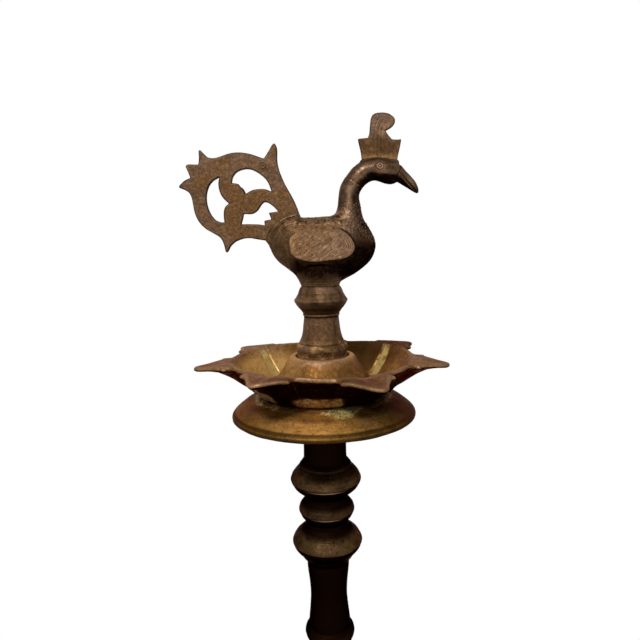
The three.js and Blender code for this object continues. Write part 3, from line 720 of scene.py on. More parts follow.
def dish_under(points, sizes):
    """Height of the dish's lower face over the plane of the spouts' tips."""
    radius = radius_of(points)
    along, across, turn = spout_place(points, sizes)
    edge = np.asarray(SPOUT_EDGE)[::-1]
    half = np.interp(along, edge[:, 0], edge[:, 1])
    in_spout = np.clip(np.abs(across) / np.maximum(half, 1), 0, 1)
    in_bowl = np.sin(turn * math.pi / 2) ** 2
    share = in_bowl + (in_spout - in_bowl) * ramp(radius, 61, 70)
    return read(KEEL, radius) * (1 - share) + read(VALLEY, radius) * share + rim_lift(points, sizes)


def edge_distance(points, line):
    """Distance of each point from a closed line in plan."""
    start = line
    run = np.roll(line, -1, axis=0) - line
    reach = (run**2).sum(axis=1)
    distance = np.empty(len(points))
    for some in np.array_split(np.arange(len(points)), len(points) // 4000 + 1):
        away = points[some, None, :2] - start
        share = np.clip((away * run).sum(axis=2) / reach, 0, 1)
        distance[some] = np.linalg.norm(away - share[..., None] * run, axis=2).min(axis=1)
    return distance


FLOOR_RADIUS = 46.0  # where the mesh's even rings end and those that follow the edge begin


def dish_mesh(sizes):
    """The dish as rings from the bore out to the edge over its top, and back below."""
    edge = resampled(star_outline(sizes), 0.85, closed=True)
    count = len(edge)
    turn = np.unwrap(np.arctan2(edge[:, 1], edge[:, 0]))
    even = turn[0] + np.arange(count) * 2 * math.pi / count
    reach = np.hypot(edge[:, 0], edge[:, 1])
    mound = [np.linspace(19.4, 25, 13), np.linspace(26, FLOOR_RADIUS, 21)]
    middle = np.concatenate([[STUD_BORE, 12, 18], *mound])
    outer = 1 - (1 - np.linspace(0, 1, 42)[1:]) ** 1.35
    rows = []
    for radius in middle:
        share = ramp(radius, 20, 60)
        rows.append([np.full(count, radius), even + (turn - even) * share])
    for share in outer:
        radius = FLOOR_RADIUS + (reach - FLOOR_RADIUS) * share
        rows.append([radius, even + (turn - even) * ramp(FLOOR_RADIUS + 24 * share, 20, 60)])
    place = np.array([polar(radius, angle) for radius, angle in rows])
    under = place[::-1][1:]
    keep = np.r_[0 : len(outer), len(outer) + 3 : len(under) - 1 : 3, len(under) - 1]
    under = under[keep]
    top_points = place.reshape(-1, 2)
    low_points = under.reshape(-1, 2)
    top = dish_top(top_points, sizes)
    low = dish_under(low_points, sizes)
    wall = mm(sizes.dish_wall)
    top_near = rounded_share(edge_distance(top_points, edge), wall)
    low_near = rounded_share(edge_distance(low_points, edge), wall)
    rim = dish_top(edge, sizes) - wall * 0.5
    top_rim = np.tile(rim, len(place))
    low_rim = np.tile(rim, len(under))
    top = top_rim + (top - top_rim) * top_near
    low = low_rim + (np.minimum(low, dish_top(low_points, sizes) - wall) - low_rim) * low_near
    points = np.vstack([np.c_[top_points, top], np.c_[low_points, low]])
    index = np.arange(len(points)).reshape(-1, count)
    upper = np.roll(index, -1, axis=0)
    quads = np.stack([index, upper, np.roll(upper, -1, axis=1), np.roll(index, -1, axis=1)], axis=-1)
    return points + [0, 0, RIM_Z], quads.reshape(-1, 4)


def rounded_share(distance, wall):
    """How much of its height a face has near the edge, so that the edge is round."""
    share = np.clip(distance / (wall * 0.55), 0, 1)
    return np.sqrt(np.clip(1 - (1 - share) ** 2, 0, 1))


# Bird, with places [x, z] from its foot on the lamp's axis
SEAM_CENTRE = (-14.0, 28.0)
SEAM_RADIUS = 26.4
EYE = (44.9, 84.4)
EYE_RADIUS = 1.9
HEAD_HALF = 8.0
TAIL_HALF = 2.0
CREST_HALF = 1.7
TORSO = [  # x, lowest and highest z, half width
    [-39.4, 33.2, 36.6, 1.6], [-37.6, 30.6, 40.4, 4.0], [-34.4, 23.6, 43.6, 6.6], [-30.1, 17.8, 47.0, 9.4],
    [-23.5, 12.1, 50.4, 12.6], [-17.5, 7.2, 51.4, 14.8], [-12, 3.0, 50.2, 16.2], [-4, 1.4, 49.7, 17.3],
    [6, 1.4, 50.2, 17.9], [14.6, 2.2, 50.6, 17.9], [21, 5.0, 50.4, 17.2], [27.4, 8.4, 49.6, 15.8],
    [33.2, 12.8, 46.6, 13.4], [37.4, 17.1, 40.4, 10.6], [40.2, 21.6, 34.6, 7.2], [41.4, 25.2, 30.4, 3.6],
    [41.7, 26.8, 28.6, 1.4],
]
NECK = [  # back point, front point, half width
    [4, 36, 40.6, 29, 12.5], [8, 43, 38.3, 37.5, 12.8], [11.2, 49.6, 35, 44, 12.0],
    [13, 53.6, 32.6, 49.6, 10.6], [14.1, 57, 31.4, 56.6, 9.0], [14.6, 61, 30.3, 62, 8.0],
    [15.3, 66, 30.3, 65.4, 7.5], [16.5, 71, 31.3, 67.8, 7.2], [18.6, 75.1, 33.1, 70.2, 7.2],
    [21.5, 79.3, 35.9, 72.9, 7.2], [25, 83.6, 38.9, 74.6, 7.2], [28.9, 86.7, 41.8, 75.2, 7.3],
    [32.8, 89.1, 44.6, 74.5, 7.6], [37.3, 90.3, 47.6, 73.3, 7.9], [42.9, 90.8, 50.8, 72.3, 8.0],
    [48.4, 90.4, 53.6, 72.0, 7.6], [53.4, 89.4, 55.9, 72.5, 6.8], [58.2, 88.3, 58.2, 73.3, 5.6],
    [60.6, 85.9, 61.2, 71.7, 4.8], [63.4, 82.7, 64.6, 69.6, 4.0], [66.5, 79.3, 68.2, 67.2, 3.2],
    [69.2, 76, 70.9, 65.7, 2.5], [71.6, 72.6, 72.5, 65.0, 1.7], [73.1, 69, 73.4, 65.2, 1.0],
    [73.6, 67.2, 73.6, 66.0, 0.4],
]
BIRD_FOOT = [  # radius and height
    [14.4, 0], [14.8, 1.2], [15.4, 2.6], [16.5, 4.6], [17.8, 7], [18.2, 10], [17.4, 15],
]
CLASP = [  # radius as a share of the seam's, and half width
    [0.2, 9.0], [0.5, 8.4], [0.75, 7.0], [0.9, 5.6], [0.97, 4.8], [1.0, 4.0],
]
CREST_BASE = [[32.6, 89.3], [37.3, 90.3], [42.9, 90.7], [48.4, 90.3], [53.4, 89.4], [58.2, 88.4]]
WING_EDGE = [
    [-21.6, 32.4], [-20.7, 26.2], [-18.9, 22.9], [-14.3, 19.9], [-3.9, 17.7], [6.6, 18.5], [17.1, 19.7],
    [22.8, 22.8], [25.1, 27.4], [23.8, 32.4], [20.1, 37.4], [12.4, 41.4], [3.4, 42.9], [-8.3, 41.9],
    [-16.2, 38.9], [-20.2, 36.0],
]


def tail_runs():
    """The tail's outer edge, clockwise from the back, as runs that meet at spikes and corners.

    A run's first point isn't given, because it is the last point of the run before.
    """
    return [
        [[-14.6, 55.4], [-17.9, 63], [-24.6, 76.6], [-28.2, 88], [-28.4, 98], [-29.1, 101.6]],
        [[-30.3, 103.0], [-31.8, 102.2]],
        [[-34.4, 98.4], [-38.3, 92.7]],
        [[-43.3, 94.6], [-48.9, 96.4], [-56, 97.4], [-63.2, 97.1], [-69, 95.3], [-74, 94.0],
         [-78.3, 94.5], [-81.1, 96.9], [-84.0, 100.0]],
        [[-85.1, 99.2], [-85.1, 94.5], [-85.7, 89.7]],
        [[-89.5, 90.0], [-93.6, 90.1], [-95.3, 88.6]],
        [[-94.1, 86.0], [-92.0, 80.4]],
        [[-96.4, 78.7], [-100.5, 75.2], [-100.6, 73.7]],
        [[-94.8, 70.9], [-92.5, 67.3], [-91.2, 60.5], [-89.9, 54], [-87, 48], [-82.6, 43.4],
         [-77, 39.9], [-72.6, 36.9], [-70.4, 32.6], [-69.2, 26.9]],
        [[-68.4, 25.9], [-67.2, 27.0]],
        [[-65.1, 30.6], [-61.5, 33.7], [-56, 35.6], [-50.9, 35.9], [-46.6, 35.2], [-39.5, 33.9]],
        [[-27, 30], [-12, 38], [-11.5, 47]],
    ]


def tail_opening_runs():
    """The three openings of the tail: under the top rim, along the left rim and above the rump."""
    top = [
        [[-60.9, 80.6], [-57.4, 84.1], [-51.5, 85.8], [-46, 84.6], [-40.5, 80.8], [-36.3, 76.0],
         [-33.5, 69.1]],
        [[-38.2, 71.0], [-43.6, 71.2], [-48.3, 70.2], [-52.4, 67.9]],
        [[-54.0, 71.4], [-56.4, 73.4], [-57.6, 75.2], [-62.1, 76.3]],
    ]
    left = [
        [[-72.0, 75], [-71.2, 69.6], [-69, 65.4], [-65, 61.5]],
        [[-67.4, 59.6], [-68.8, 56.6], [-69.2, 52.4], [-68.9, 48]],
        [[-72.4, 48.4], [-76, 50.4], [-79.2, 55.2], [-80.9, 61.4], [-80.9, 67.8], [-79.2, 73.8],
         [-76, 77.9], [-71.2, 80.4]],
    ]
    lower = [
        [[-32, 57.8], [-36, 61.1], [-38.9, 61.8], [-41.2, 60.2], [-44.2, 55.9], [-48.5, 53.5],
         [-54.5, 53.7]],
        [[-55.2, 50.6], [-56.6, 46.3]],
        [[-50.5, 46.3], [-44, 46.0], [-39.6, 45.2]],
        [[-39.9, 48.5]],
        [[-34.6, 49.3]],
        [[-36.3, 54.1]],
        [[-29.4, 54.8]],
    ]
    return [top, left, lower]


def crest_runs():
    """The crest's edge, clockwise from its tang: flared base, corners and the curled plume."""
    return [
        [[32.6, 89.6], [32.0, 95], [30.9, 100.4], [30.1, 104.5]],
        [[33.5, 104.8], [37.2, 105.1]],
        [[38.4, 108.4], [38.9, 113.6], [39.5, 118.3], [41.3, 121.2], [44.8, 122.3],
         [49.8, 122.2], [53.8, 120.7], [56.6, 117.9], [56.6, 114.6], [54.4, 111.9], [50.2, 109.6]],
        [[51.8, 107.0], [54.6, 103.7]],
        [[58, 103.4], [61.3, 103.5]],
        [[60.4, 98.4], [59.0, 93], [58.2, 88.6], [57.6, 84]],
        [[33.4, 84]],
    ]


PUNCHES = [  # x, z and ring radius of the ring-and-dot punches on the tail
    [-62.8, 53.4, 1.5], [-39.6, 88.2, 2.3], [-32.3, 79.6, 1.5], [-35.5, 66.0, 2.0], [-55.9, 91.5, 1.5],
    [-50.1, 61.6, 1.2], [-64.5, 70.7, 1.5],
]


def swept_rings(stations, count, sides, section):
    """Rings of points round a body; `section` gives each ring from one station's numbers."""
    line = spline(stations, 0.05)
    at = np.linspace(0, len(line) - 1, count).round().astype(int)
    return np.array([section(station, full_turn(sides)) for station in line[at]])


def torso_section(station, angles):
    """A hull-like section: full above, drawn in below the wing."""
    x, low, high, half = station
    widest = low + (high - low) * 0.58
    up, out = np.sin(angles), np.cos(angles)
    z = widest + np.where(up > 0, high - widest, widest - low) * up
    power = np.where(up > 0, 0.78, 1.25)
    y = max(half, 0.05) * np.sign(out) * np.abs(out) ** power
    return np.stack([np.full(len(angles), x), y, z], axis=1)


def neck_section(station, angles):
    """An oval between a point of the back and a point of the throat."""
    back, front = np.array(station[:2]), np.array(station[2:4])
    middle, reach = (back + front) / 2, (front - back) / 2
    along = middle + reach * np.cos(angles)[:, None]
    y = max(station[4], 0.05) * np.sin(angles)
    return np.stack([along[:, 0], y, along[:, 1]], axis=1)


def joined(name, parts, voxel):
    """One skin over several closed parts, remeshed into even quads."""
    things = [object_of(f"{name}_{i}", points, faces) for i, (points, faces) in enumerate(parts)]
    for thing in things:
        outward(thing)
    base = things[0]
    with bpy.context.temp_override(active_object=base, selected_editable_objects=things):
        bpy.ops.object.join()
    remesh = base.modifiers.new("skin", "REMESH")
    remesh.mode = "VOXEL"
    remesh.voxel_size = voxel * MM
    return object_from(name, plain_mesh(base, name))


def bar(line, half_y, half_z, sides=12):
    """A rounded bar along a line [x, z] in the bird's middle plane."""
    points = spline(line, 0.8)
    run = np.gradient(points, axis=0)
    run /= np.linalg.norm(run, axis=1)[:, None]
    angles = full_turn(sides)
    rings = []
    for (x, z), (dx, dz) in zip(points, run):
        lift = half_z * np.sin(angles)
        rings.append(np.stack([x - dz * lift, half_y * np.cos(angles), z + dx * lift], axis=1))
    return np.array(rings)


def clasp_rings():
    """The end of the rump that grips the tail: a slab with a round seam."""
    angles = np.radians(np.linspace(92, 169, 40))
    rings = []
    for share, half in CLASP:
        arc = polar(SEAM_RADIUS * share, angles) + SEAM_CENTRE
        front = np.c_[arc[:, 0], np.full(len(arc), -half), arc[:, 1]]
        back = np.c_[arc[::-1, 0], np.full(len(arc), half), arc[::-1, 1]]
        rings.append(np.vstack([front, back]))
    return np.array(rings)


def bird_parts():
    """Torso, neck with head, foot, rump and the crest's seat, as closed skins."""
    torso = swept_rings(TORSO, 90, 56, torso_section)
    neck = swept_rings(NECK, 150, 40, neck_section)
    seat = [[32.4, 88.0], *[[x, z - 0.3] for x, z in CREST_BASE], [58.6, 87.4]]
    parts = [skin(torso), skin(neck), skin(clasp_rings()), skin(bar(seat, 2.9, 1.2))]
    around = full_turn(56)
    foot = [np.c_[polar(radius, around) * [1, 0.98], np.full(56, z)] for radius, z in BIRD_FOOT]
    return [*parts, skin(np.array(foot))]


def line_distance(points, line):
    """Distance in the bird's middle plane of each point from a line [x, z]."""
    knots = spline(line, 0.7)
    start, run = knots[:-1], np.diff(knots, axis=0)
    reach = (run**2).sum(axis=1)
    best = np.full(len(points), np.inf)
    for a, step, size in zip(start, run, reach):
        away = points[:, [0, 2]] - a
        share = np.clip((away @ step) / size, 0, 1)
        best = np.minimum(best, np.hypot(*(away - share[:, None] * step).T))
    return best


def groove(distance, half, depth):
    """Depth of a soft groove at a distance from its line."""
    return depth * bell(distance, half)


def chasing(points):
    """The hammered marks of the back, from -1 to 1."""
    return noise(points * [1, 1, 0.7], 1.5, 61) * 0.75 + noise(points, 2.6, 62) * 0.5


# Grooves as a place and a share of the engraving's depth: in from the seam, and up the throat
RUMP_BANDS = [[1.3, 0.7], [3.0, 0.55], [4.5, 0.35], [8.6, 0.75], [10.2, 0.6], [11.6, 0.35]]
THROAT_RINGS = [[60.0, 0.4], [61.6, 0.2], [71.5, 0.15]]
NAPE_LINES = [[[20.6, 78.4], [29.5, 71.6]], [[27.2, 86.0], [33.6, 76.2]]]
BEAK_ROOT = [[60.4, 86.4], [60.2, 82.4], [58.6, 79.4], [57.4, 73.8]]
MOUTH = [[59.7, 79.9], [64.9, 73.6], [70.9, 66.6]]
CHEEK = (52.5, 79.0, 4.6, 3.0)  # x, z and half sizes of a swelling behind the beak
BROW = (53, 85.4, 5.0, 1.6)


def oval_distance(x, z, oval):
    """Distance from the middle of an oval, 1 at its edge."""
    middle_x, middle_z, half_x, half_z = oval
    return np.hypot((x - middle_x) / half_x, (z - middle_z) / half_z)


def bird_relief(points, depth):
    """Height of the bird's chasing: rump bands, neck rings, beak and mouth lines, feather marks."""
    x, y, z = points.T
    seam = SEAM_RADIUS - np.hypot(x - SEAM_CENTRE[0], z - SEAM_CENTRE[1])
    rump = ramp(x, -9, -13) * ramp(z, 25, 30)
    height = np.zeros(len(points))
    for at, share in RUMP_BANDS:
        height -= groove(seam - at, 0.45, depth * share) * rump
    throat = ramp(x, 11, 13) * ramp(x, 36, 33)
    for ring, share in THROAT_RINGS:
        away = z - ring - (x - 22) * 0.05 + noise(points, 6, 63) * 0.4
        height -= groove(away, 0.4, depth * share) * throat
    for line in NAPE_LINES:
        height -= groove(line_distance(points, line), 0.5, depth * 0.5)
    side = ramp(np.abs(y), 0.6, 1.6)
    height -= groove(line_distance(points, BEAK_ROOT), 0.6, depth * 1.5)
    height -= groove(line_distance(points, MOUTH), 0.55, depth * 1.9) * side
    height += ramp(oval_distance(x, z, CHEEK), 1.2, 0.2) * 0.8 * side
    height += ramp(oval_distance(x, z, BROW), 1.2, 0.2) * 0.35 * side
    socket = np.hypot(x - EYE[0], z - EYE[1])
    height -= groove(socket - 2.8, 0.5, depth * 0.45) * side
    facets = noise(points, 5.5, 64) * 0.25 * ramp(z, 62, 70)
    chased = ramp(z, 43.5, 46) * ramp(z, 53, 50) * ramp(x, -24, -16) * ramp(x, 21, 14)
    dots = noise(points, 1.0, 65) * ramp(z, 59, 57) * ramp(z, 20, 34) * ramp(x, 12, 18)
    return height + facets + chased * chasing(points) * depth * 1.4 - dots * depth * 0.4


def surface_net(field, low, step):
    """Points and quads of the surface where a grid of values crosses zero; inside is below zero."""
    inside = field < 0
    cells = tuple(n - 1 for n in field.shape)
    total = np.zeros((*cells, 3))
    count = np.zeros(cells)
    for axis in range(3):
        others = [k for k in range(3) if k != axis]
        for offset in np.ndindex(2, 2):
            place = [0, 0, 0]
            place[others[0]], place[others[1]] = offset
            first = tuple(slice(place[k], place[k] + cells[k]) for k in range(3))
            place[axis] = 1
            second = tuple(slice(place[k], place[k] + cells[k]) for k in range(3))
            a, b = field[first], field[second]
            crossing = inside[first] != inside[second]
            share = np.where(crossing, a / np.where(crossing, a - b, 1), 0)
            place[axis] = 0
            spot = np.zeros((*cells, 3)) + place
            spot[..., axis] = share
            total += np.where(crossing[..., None], spot, 0)
            count += crossing
    active = count > 0
    number = np.full(cells, -1)
    number[active] = np.arange(active.sum())
    corner = np.argwhere(active)
    points = (corner + total[active] / count[active][:, None]) * step + low
    quads = []
    for axis in range(3):
        b, c = [(axis + 1) % 3, (axis + 2) % 3]
        start = [slice(None)] * 3
        end = [slice(None)] * 3
        start[axis], end[axis] = slice(0, cells[axis]), slice(1, cells[axis] + 1)
        for k in (b, c):
            start[k] = end[k] = slice(1, cells[k])
        crossing = inside[tuple(start)] != inside[tuple(end)]
        spots = np.argwhere(crossing) + np.array([0 if k == axis else 1 for k in range(3)])
        rising = inside[tuple(start)][crossing]
        shift = np.eye(3, dtype=int)
        around = [spots - shift[b] - shift[c], spots - shift[c], spots, spots - shift[b]]
        faces = np.stack([number[tuple(spot.T)] for spot in around], axis=1)
        quads.append(np.where(rising[:, None], faces, faces[:, ::-1]))
    return points, np.vstack(quads)


def inside_distance(x, z, loops):
    """Signed distance in the plane from closed loops, below zero inside; a second loop is a hole."""
    spots = np.stack([x.ravel(), z.ravel()], axis=1)
    best = np.full(len(spots), np.inf)
    odd = np.zeros(len(spots), bool)
    for loop in loops:
        for (ax, az), (bx, bz) in zip(loop, np.roll(loop, -1, axis=0)):
            dx, dz = bx - ax, bz - az
            size = dx * dx + dz * dz
            if size < 1e-12:
                continue
            px, pz = spots[:, 0] - ax, spots[:, 1] - az
            share = np.clip((px * dx + pz * dz) / size, 0, 1)
            best = np.minimum(best, (px - share * dx) ** 2 + (pz - share * dz) ** 2)
            if az != bz:
                crosses = (az > spots[:, 1]) != (bz > spots[:, 1])
                odd ^= crosses & (spots[:, 0] < ax + (spots[:, 1] - az) * dx / dz)
    return (np.sqrt(best) * np.where(odd, -1, 1)).reshape(x.shape)


def cut_plate(loops, step, thickness, edge, face=None):
    """A plate in the bird's middle plane with round edges. `face` moves its outer side by x and z."""
    corners = np.vstack(loops)
    low = corners.min(axis=0) - step * 3
    high = corners.max(axis=0) + step * 3
    xs, zs = np.arange(low[0], high[0], step), np.arange(low[1], high[1], step)
    flat_x, flat_z = np.meshgrid(xs, zs, indexing="ij")
    distance = inside_distance(flat_x, flat_z, loops)
    near, far = thickness
    if face is None:
        outer = np.full(flat_x.shape, far)
    else:
        outer = face(flat_x, flat_z)
    ys = np.arange(near - step * 3, outer.max() + step * 3, step)
    y = ys[None, :, None]
    across = np.maximum(near - y, y - outer[:, None, :])
    a = distance[:, None, :] + edge
    b = across + edge
    field = np.minimum(np.maximum(a, b), 0) + np.hypot(np.maximum(a, 0), np.maximum(b, 0)) - edge
    return surface_net(field, np.array([low[0], ys[0], low[1]]), step)


# Node trees
class Wire:
    """A socket of a node tree that can stand in an expression."""

    def __init__(self, graph, socket):
        self.graph = graph
        self.socket = socket

    def maths(self, operation, *others):
        values = dict(enumerate((self, *others)))
        return self.graph.add("ShaderNodeMath", values, operation=operation)

    def __add__(self, other):
        return self.maths("ADD", other)

    def __sub__(self, other):
        return self.maths("SUBTRACT", other)

    def __rsub__(self, other):
        return self.graph.add("ShaderNodeMath", {0: other, 1: self}, operation="SUBTRACT")

    def __mul__(self, other):
        return self.maths("MULTIPLY", other)

    __radd__ = __add__
    __rmul__ = __mul__

    def most(self, other):
        return self.maths("MAXIMUM", other)

    def least(self, other):
        return self.maths("MINIMUM", other)

    def between(self, start, end):
        """A smooth step from 0 at start to 1 at end."""
        inputs = {"Value": self, "From Min": start, "From Max": end}
        return self.graph.add("ShaderNodeMapRange", inputs, interpolation_type="SMOOTHSTEP")


class Graph:
    """Adds nodes to a tree and links them as they are made."""

    def __init__(self, tree):
        self.tree = tree

    @classmethod
    def material(cls, name):
        """The empty tree of a new material."""
        material = bpy.data.materials.new(name)
        material.use_nodes = True
        material.node_tree.nodes.clear()
        graph = cls(material.node_tree)
        graph.owner = material
        return graph

    def add(self, kind, inputs=None, output=0, **settings):
        """A node with its settings, then its sockets' values or links; gives back one output."""
        node = self.tree.nodes.new(kind)
        for name, value in settings.items():
            setattr(node, name, value)
        for key, value in (inputs or {}).items():
            if isinstance(value, Wire):
                self.tree.links.new(value.socket, node.inputs[key])
            else:
                node.inputs[key].default_value = value
        return Wire(self, node.outputs[output]) if node.outputs else None

    def attribute(self, name):
        """A number stored on the mesh."""
        return self.add("ShaderNodeAttribute", output="Fac", attribute_name=name)

    def noise(self, place, size, seed, detail=4.0, rough=0.55, warp=0.0):
        """Noise with features about `size` millimetres across."""
        inputs = {
            "Vector": place, "W": float(seed), "Scale": 1 / (size * MM), "Detail": detail,
            "Roughness": rough, "Distortion": warp,
        }
        return self.add("ShaderNodeTexNoise", inputs, noise_dimensions="4D")

    def mix(self, share, first, second):
        """A colour between two colours."""
        inputs = {0: share, 6: opaque(first), 7: opaque(second)}
        return self.add("ShaderNodeMix", inputs, output=2, data_type="RGBA")

    def surface(self, inputs):
        """Ends a material in the standard surface."""
        shader = self.add("ShaderNodeBsdfPrincipled", inputs)
        self.add("ShaderNodeOutputMaterial", {"Surface": shader})
        return self.owner


def opaque(colour):
    """A colour with its alpha, or a link as it is."""
    return colour if isinstance(colour, Wire) else (*colour, 1.0)


def crusted_over(g, place, seed, colour, deep, finish):
    """The metal's colour under dry crust and pale scale; gives back its cover and its relief as well."""
    crust = g.attribute("crust")
    broken = g.noise(place, 1.5, seed + 9, 4, 0.7)
    scale = g.noise(place, 5.5, seed + 12, 3)
    dry = g.mix(broken.between(0.56, 0.42) * 0.85, finish.crust, deep)
    pale = (scale.between(0.52, 0.64) * 0.35 + g.attribute("pale")).least(1) * broken.between(0.42, 0.54)
    scaly = g.mix(pale, dry, finish.verdigris)
    cover = (crust + 1.8 * (broken - 0.5)).between(0.35, 0.7)
    return g.mix(cover, colour, scaly), cover, crust * broken * 1.5


STROKE_WAVER = 0.0009  # in metres
STROKE_PACE = 5200.0  # in radians per metre


def tool_strokes(g, place, clouds):
    """Fine level strokes of the lathe's tool, from -1 to 1."""
    axis = g.add("ShaderNodeSeparateXYZ", {0: place}, output=2)
    return g.add("ShaderNodeMath", {0: (axis + STROKE_WAVER * clouds) * STROKE_PACE}, operation="SINE")


def aged_metal(
    name, finish, tones, seed, metallic, rough, shine=0.6, lines=0.0, bare=0.4, pitted=1.0, rusty=1.0,
    gilt_and_sheen=None, crusted=False, relief=0.0006, tint=(0.42, 0.27, 0.16),
):
    """Old cast brass: patches of brown skin, rubbed edges and painted highlights, soot in its corners and
    painted shade, and a fine grain.
    """
    g = Graph.material(name)
    place = g.add("ShaderNodeTexCoord", output="Object")
    plain, deep, warm = (tuple(tone) for tone in tones)
    lighter = [min(1, tone * 1.75) for tone in plain]
    darker = [tone * 0.4 for tone in deep]
    brown = [tone * rusty for tone in warm]
    clouds = g.noise(place, 17, seed, 3)
    patches = g.noise(place, 6.5, seed + 1, 5, 0.6, 0.4)
    mottle = g.noise(place, 2.2, seed + 2, 5, 0.65)
    speck = g.noise(place, 0.8, seed + 3, 3, 0.6)
    names = ("rust", "gloss", "gold", "rubbed", "soot", "green")
    rust, gloss, gold, rubbed, soot, green = (g.attribute(label) for label in names)
    glint = mottle.between(0.5, 0.64)
    # Rubbed metal and painted highlights
    worn_and_sheen = (rubbed * (0.5 + mottle)).least(1) * bare
    colour = plain
    layers = [
        (patches.between(0.58, 0.38), deep),
        (clouds.between(0.46, 0.66) * 0.75, warm),
        (rust * (0.7 + 0.6 * patches), brown),
        (gloss * 0.55, deep),
        # Golden skin, and the painted highlights of the pan and the dish's mound
        ((gold * (1.2 * mottle + patches - 0.15)).most(0).least(1), gilt_and_sheen or finish.gilt_and_sheen),
        (glint * (0.2 + 0.4 * pitted), lighter),
        (mottle.between(0.49, 0.36) * (0.25 + 0.5 * pitted), darker),
        (speck.between(0.52, 0.66) * 0.5 * pitted, lighter),
        (speck.between(0.47, 0.34) * 0.75 * pitted, darker),
        # Rubbed metal and painted highlights, in one bare-metal colour
        (worn_and_sheen, finish.rubbed),
        ((green + 1.3 * (mottle - 0.5)).between(0.2, 0.9) * 0.9, finish.green),
    ]
    for share, tone in layers:
        colour = g.mix(share, colour, tone)
    metal = metallic + 0.3 * worn_and_sheen + 0.15 * gold + 0.15 * glint
    height = mottle * 0.5 + speck * 0.4 + patches * 0.4
    if crusted:
        colour, cover, lumps = crusted_over(g, place, seed, colour, deep, finish)
        metal = metal * (1 - cover)
        height = height + lumps
    # Soot and painted shade, near black
    grime_and_shade = (soot * (0.7 + 0.6 * mottle)).least(1)
    colour = g.mix(grime_and_shade, colour, finish.soot)
    metal = metal + (1 - metal) * grime_and_shade
    if lines:
        height = height + tool_strokes(g, place, clouds) * patches.between(0.4, 0.7) * lines
    height = height * (1 - 0.55 * gloss)
    bump = g.add("ShaderNodeBump", {"Strength": 1.0, "Distance": relief, "Height": height})
    roughness = rough + 0.2 * (patches - 0.5) - 0.1 * worn_and_sheen - 0.08 * glint - 0.1 * gloss + 0.05 * soot
    return g.surface({
        "Base Color": colour, "Metallic": metal, "Roughness": roughness, "Normal": bump,
        "Specular IOR Level": shine, "Specular Tint": opaque(tint),
    })


def lamp_material(name, finish):
    """One of the lamp's finishes, made by name."""
    bird = (finish.bird, finish.bird_deep, finish.bird_warm)
    brass = (finish.brass, finish.brass_deep, finish.brass_warm)
    pan = (finish.pan, finish.pan_deep, finish.pan_warm)
    shaft = (finish.shaft, finish.shaft_deep, finish.shaft_warm)
    settings = {
        "aged_bird": dict(tones=bird, seed=3, metallic=0.3, rough=0.45, shine=0.8, pitted=0.7),
        "aged_tail": dict(tones=bird, seed=11, metallic=0.3, rough=0.46, shine=0.5, bare=0.2, pitted=0.5),
        "aged_column": dict(
            tones=bird, seed=17, metallic=0.35, rough=0.5, shine=0.3, lines=0.1, bare=0.3, pitted=0.3,
        ),
        "aged_dish": dict(
            tones=brass, seed=23, metallic=0.45, rough=0.45, shine=0.1, bare=0.45, pitted=0.25, rusty=0.5,
            crusted=True, tint=(0.50, 0.27, 0.10),
        ),
        "aged_pan": dict(
            tones=pan, seed=31, metallic=0.6, rough=0.48, shine=0.1, bare=0.12, pitted=0.45,
            gilt_and_sheen=finish.pan_gilt_and_sheen, crusted=True, tint=(0.46, 0.27, 0.04),
        ),
        "aged_shaft": dict(
            tones=shaft, seed=41, metallic=0.85, rough=0.42, shine=0.1, lines=0.1, bare=1.0,
            tint=(0.3, 0.14, 0.05),
        ),
        "aged_stud": dict(tones=brass, seed=47, metallic=0.8, rough=0.42, lines=0.8, relief=0.0003),
    }
    return aged_metal(name, finish, **settings[name])


def dressed(thing, finish, material, body, slot, *nodes):
    """Gives a piece its metal and its place in the frame."""
    ready = bpy.data.materials.get(material) or lamp_material(material, finish)
    thing.data.materials.clear()
    thing.data.materials.append(ready)
    thing.data.set_sharp_from_angle(angle=math.radians(50))
    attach(thing, body)
    if nodes:
        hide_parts(*nodes)


# Marks made by Geometry Nodes
def new_tree(name, sockets):
    """A geometry tree with a geometry input and output, and named inputs."""
    tree = bpy.data.node_groups.new(name, "GeometryNodeTree")
    tree.interface.new_socket("Geometry", in_out="INPUT", socket_type="NodeSocketGeometry")
    for label, kind, default in sockets:
        socket = tree.interface.new_socket(label, in_out="INPUT", socket_type=kind)
        if default is not None:
            socket.default_value = default
    tree.interface.new_socket("Geometry", in_out="OUTPUT", socket_type="NodeSocketGeometry")
    return tree


def group_input(graph, label):
    """One of the tree's named inputs."""
    return graph.add("NodeGroupInput", output=label)


def finished_tree(graph, geometry):
    """Stores the wear, sets the material, and ends the tree."""
    values = {"rubbed": group_input(graph, "Wear"), "soot": 0.0, "green": 0.0, "gold": 0.0}
    for label, value in values.items():
        inputs = {"Geometry": geometry, "Name": label, "Value": value}
        geometry = graph.add("GeometryNodeStoreNamedAttribute", inputs)
    real = graph.add("GeometryNodeRealizeInstances", {"Geometry": geometry})
    inputs = {"Geometry": real, "Material": group_input(graph, "Material")}
    graph.add("NodeGroupOutput", {"Geometry": graph.add("GeometryNodeSetMaterial", inputs)})
    return graph.tree


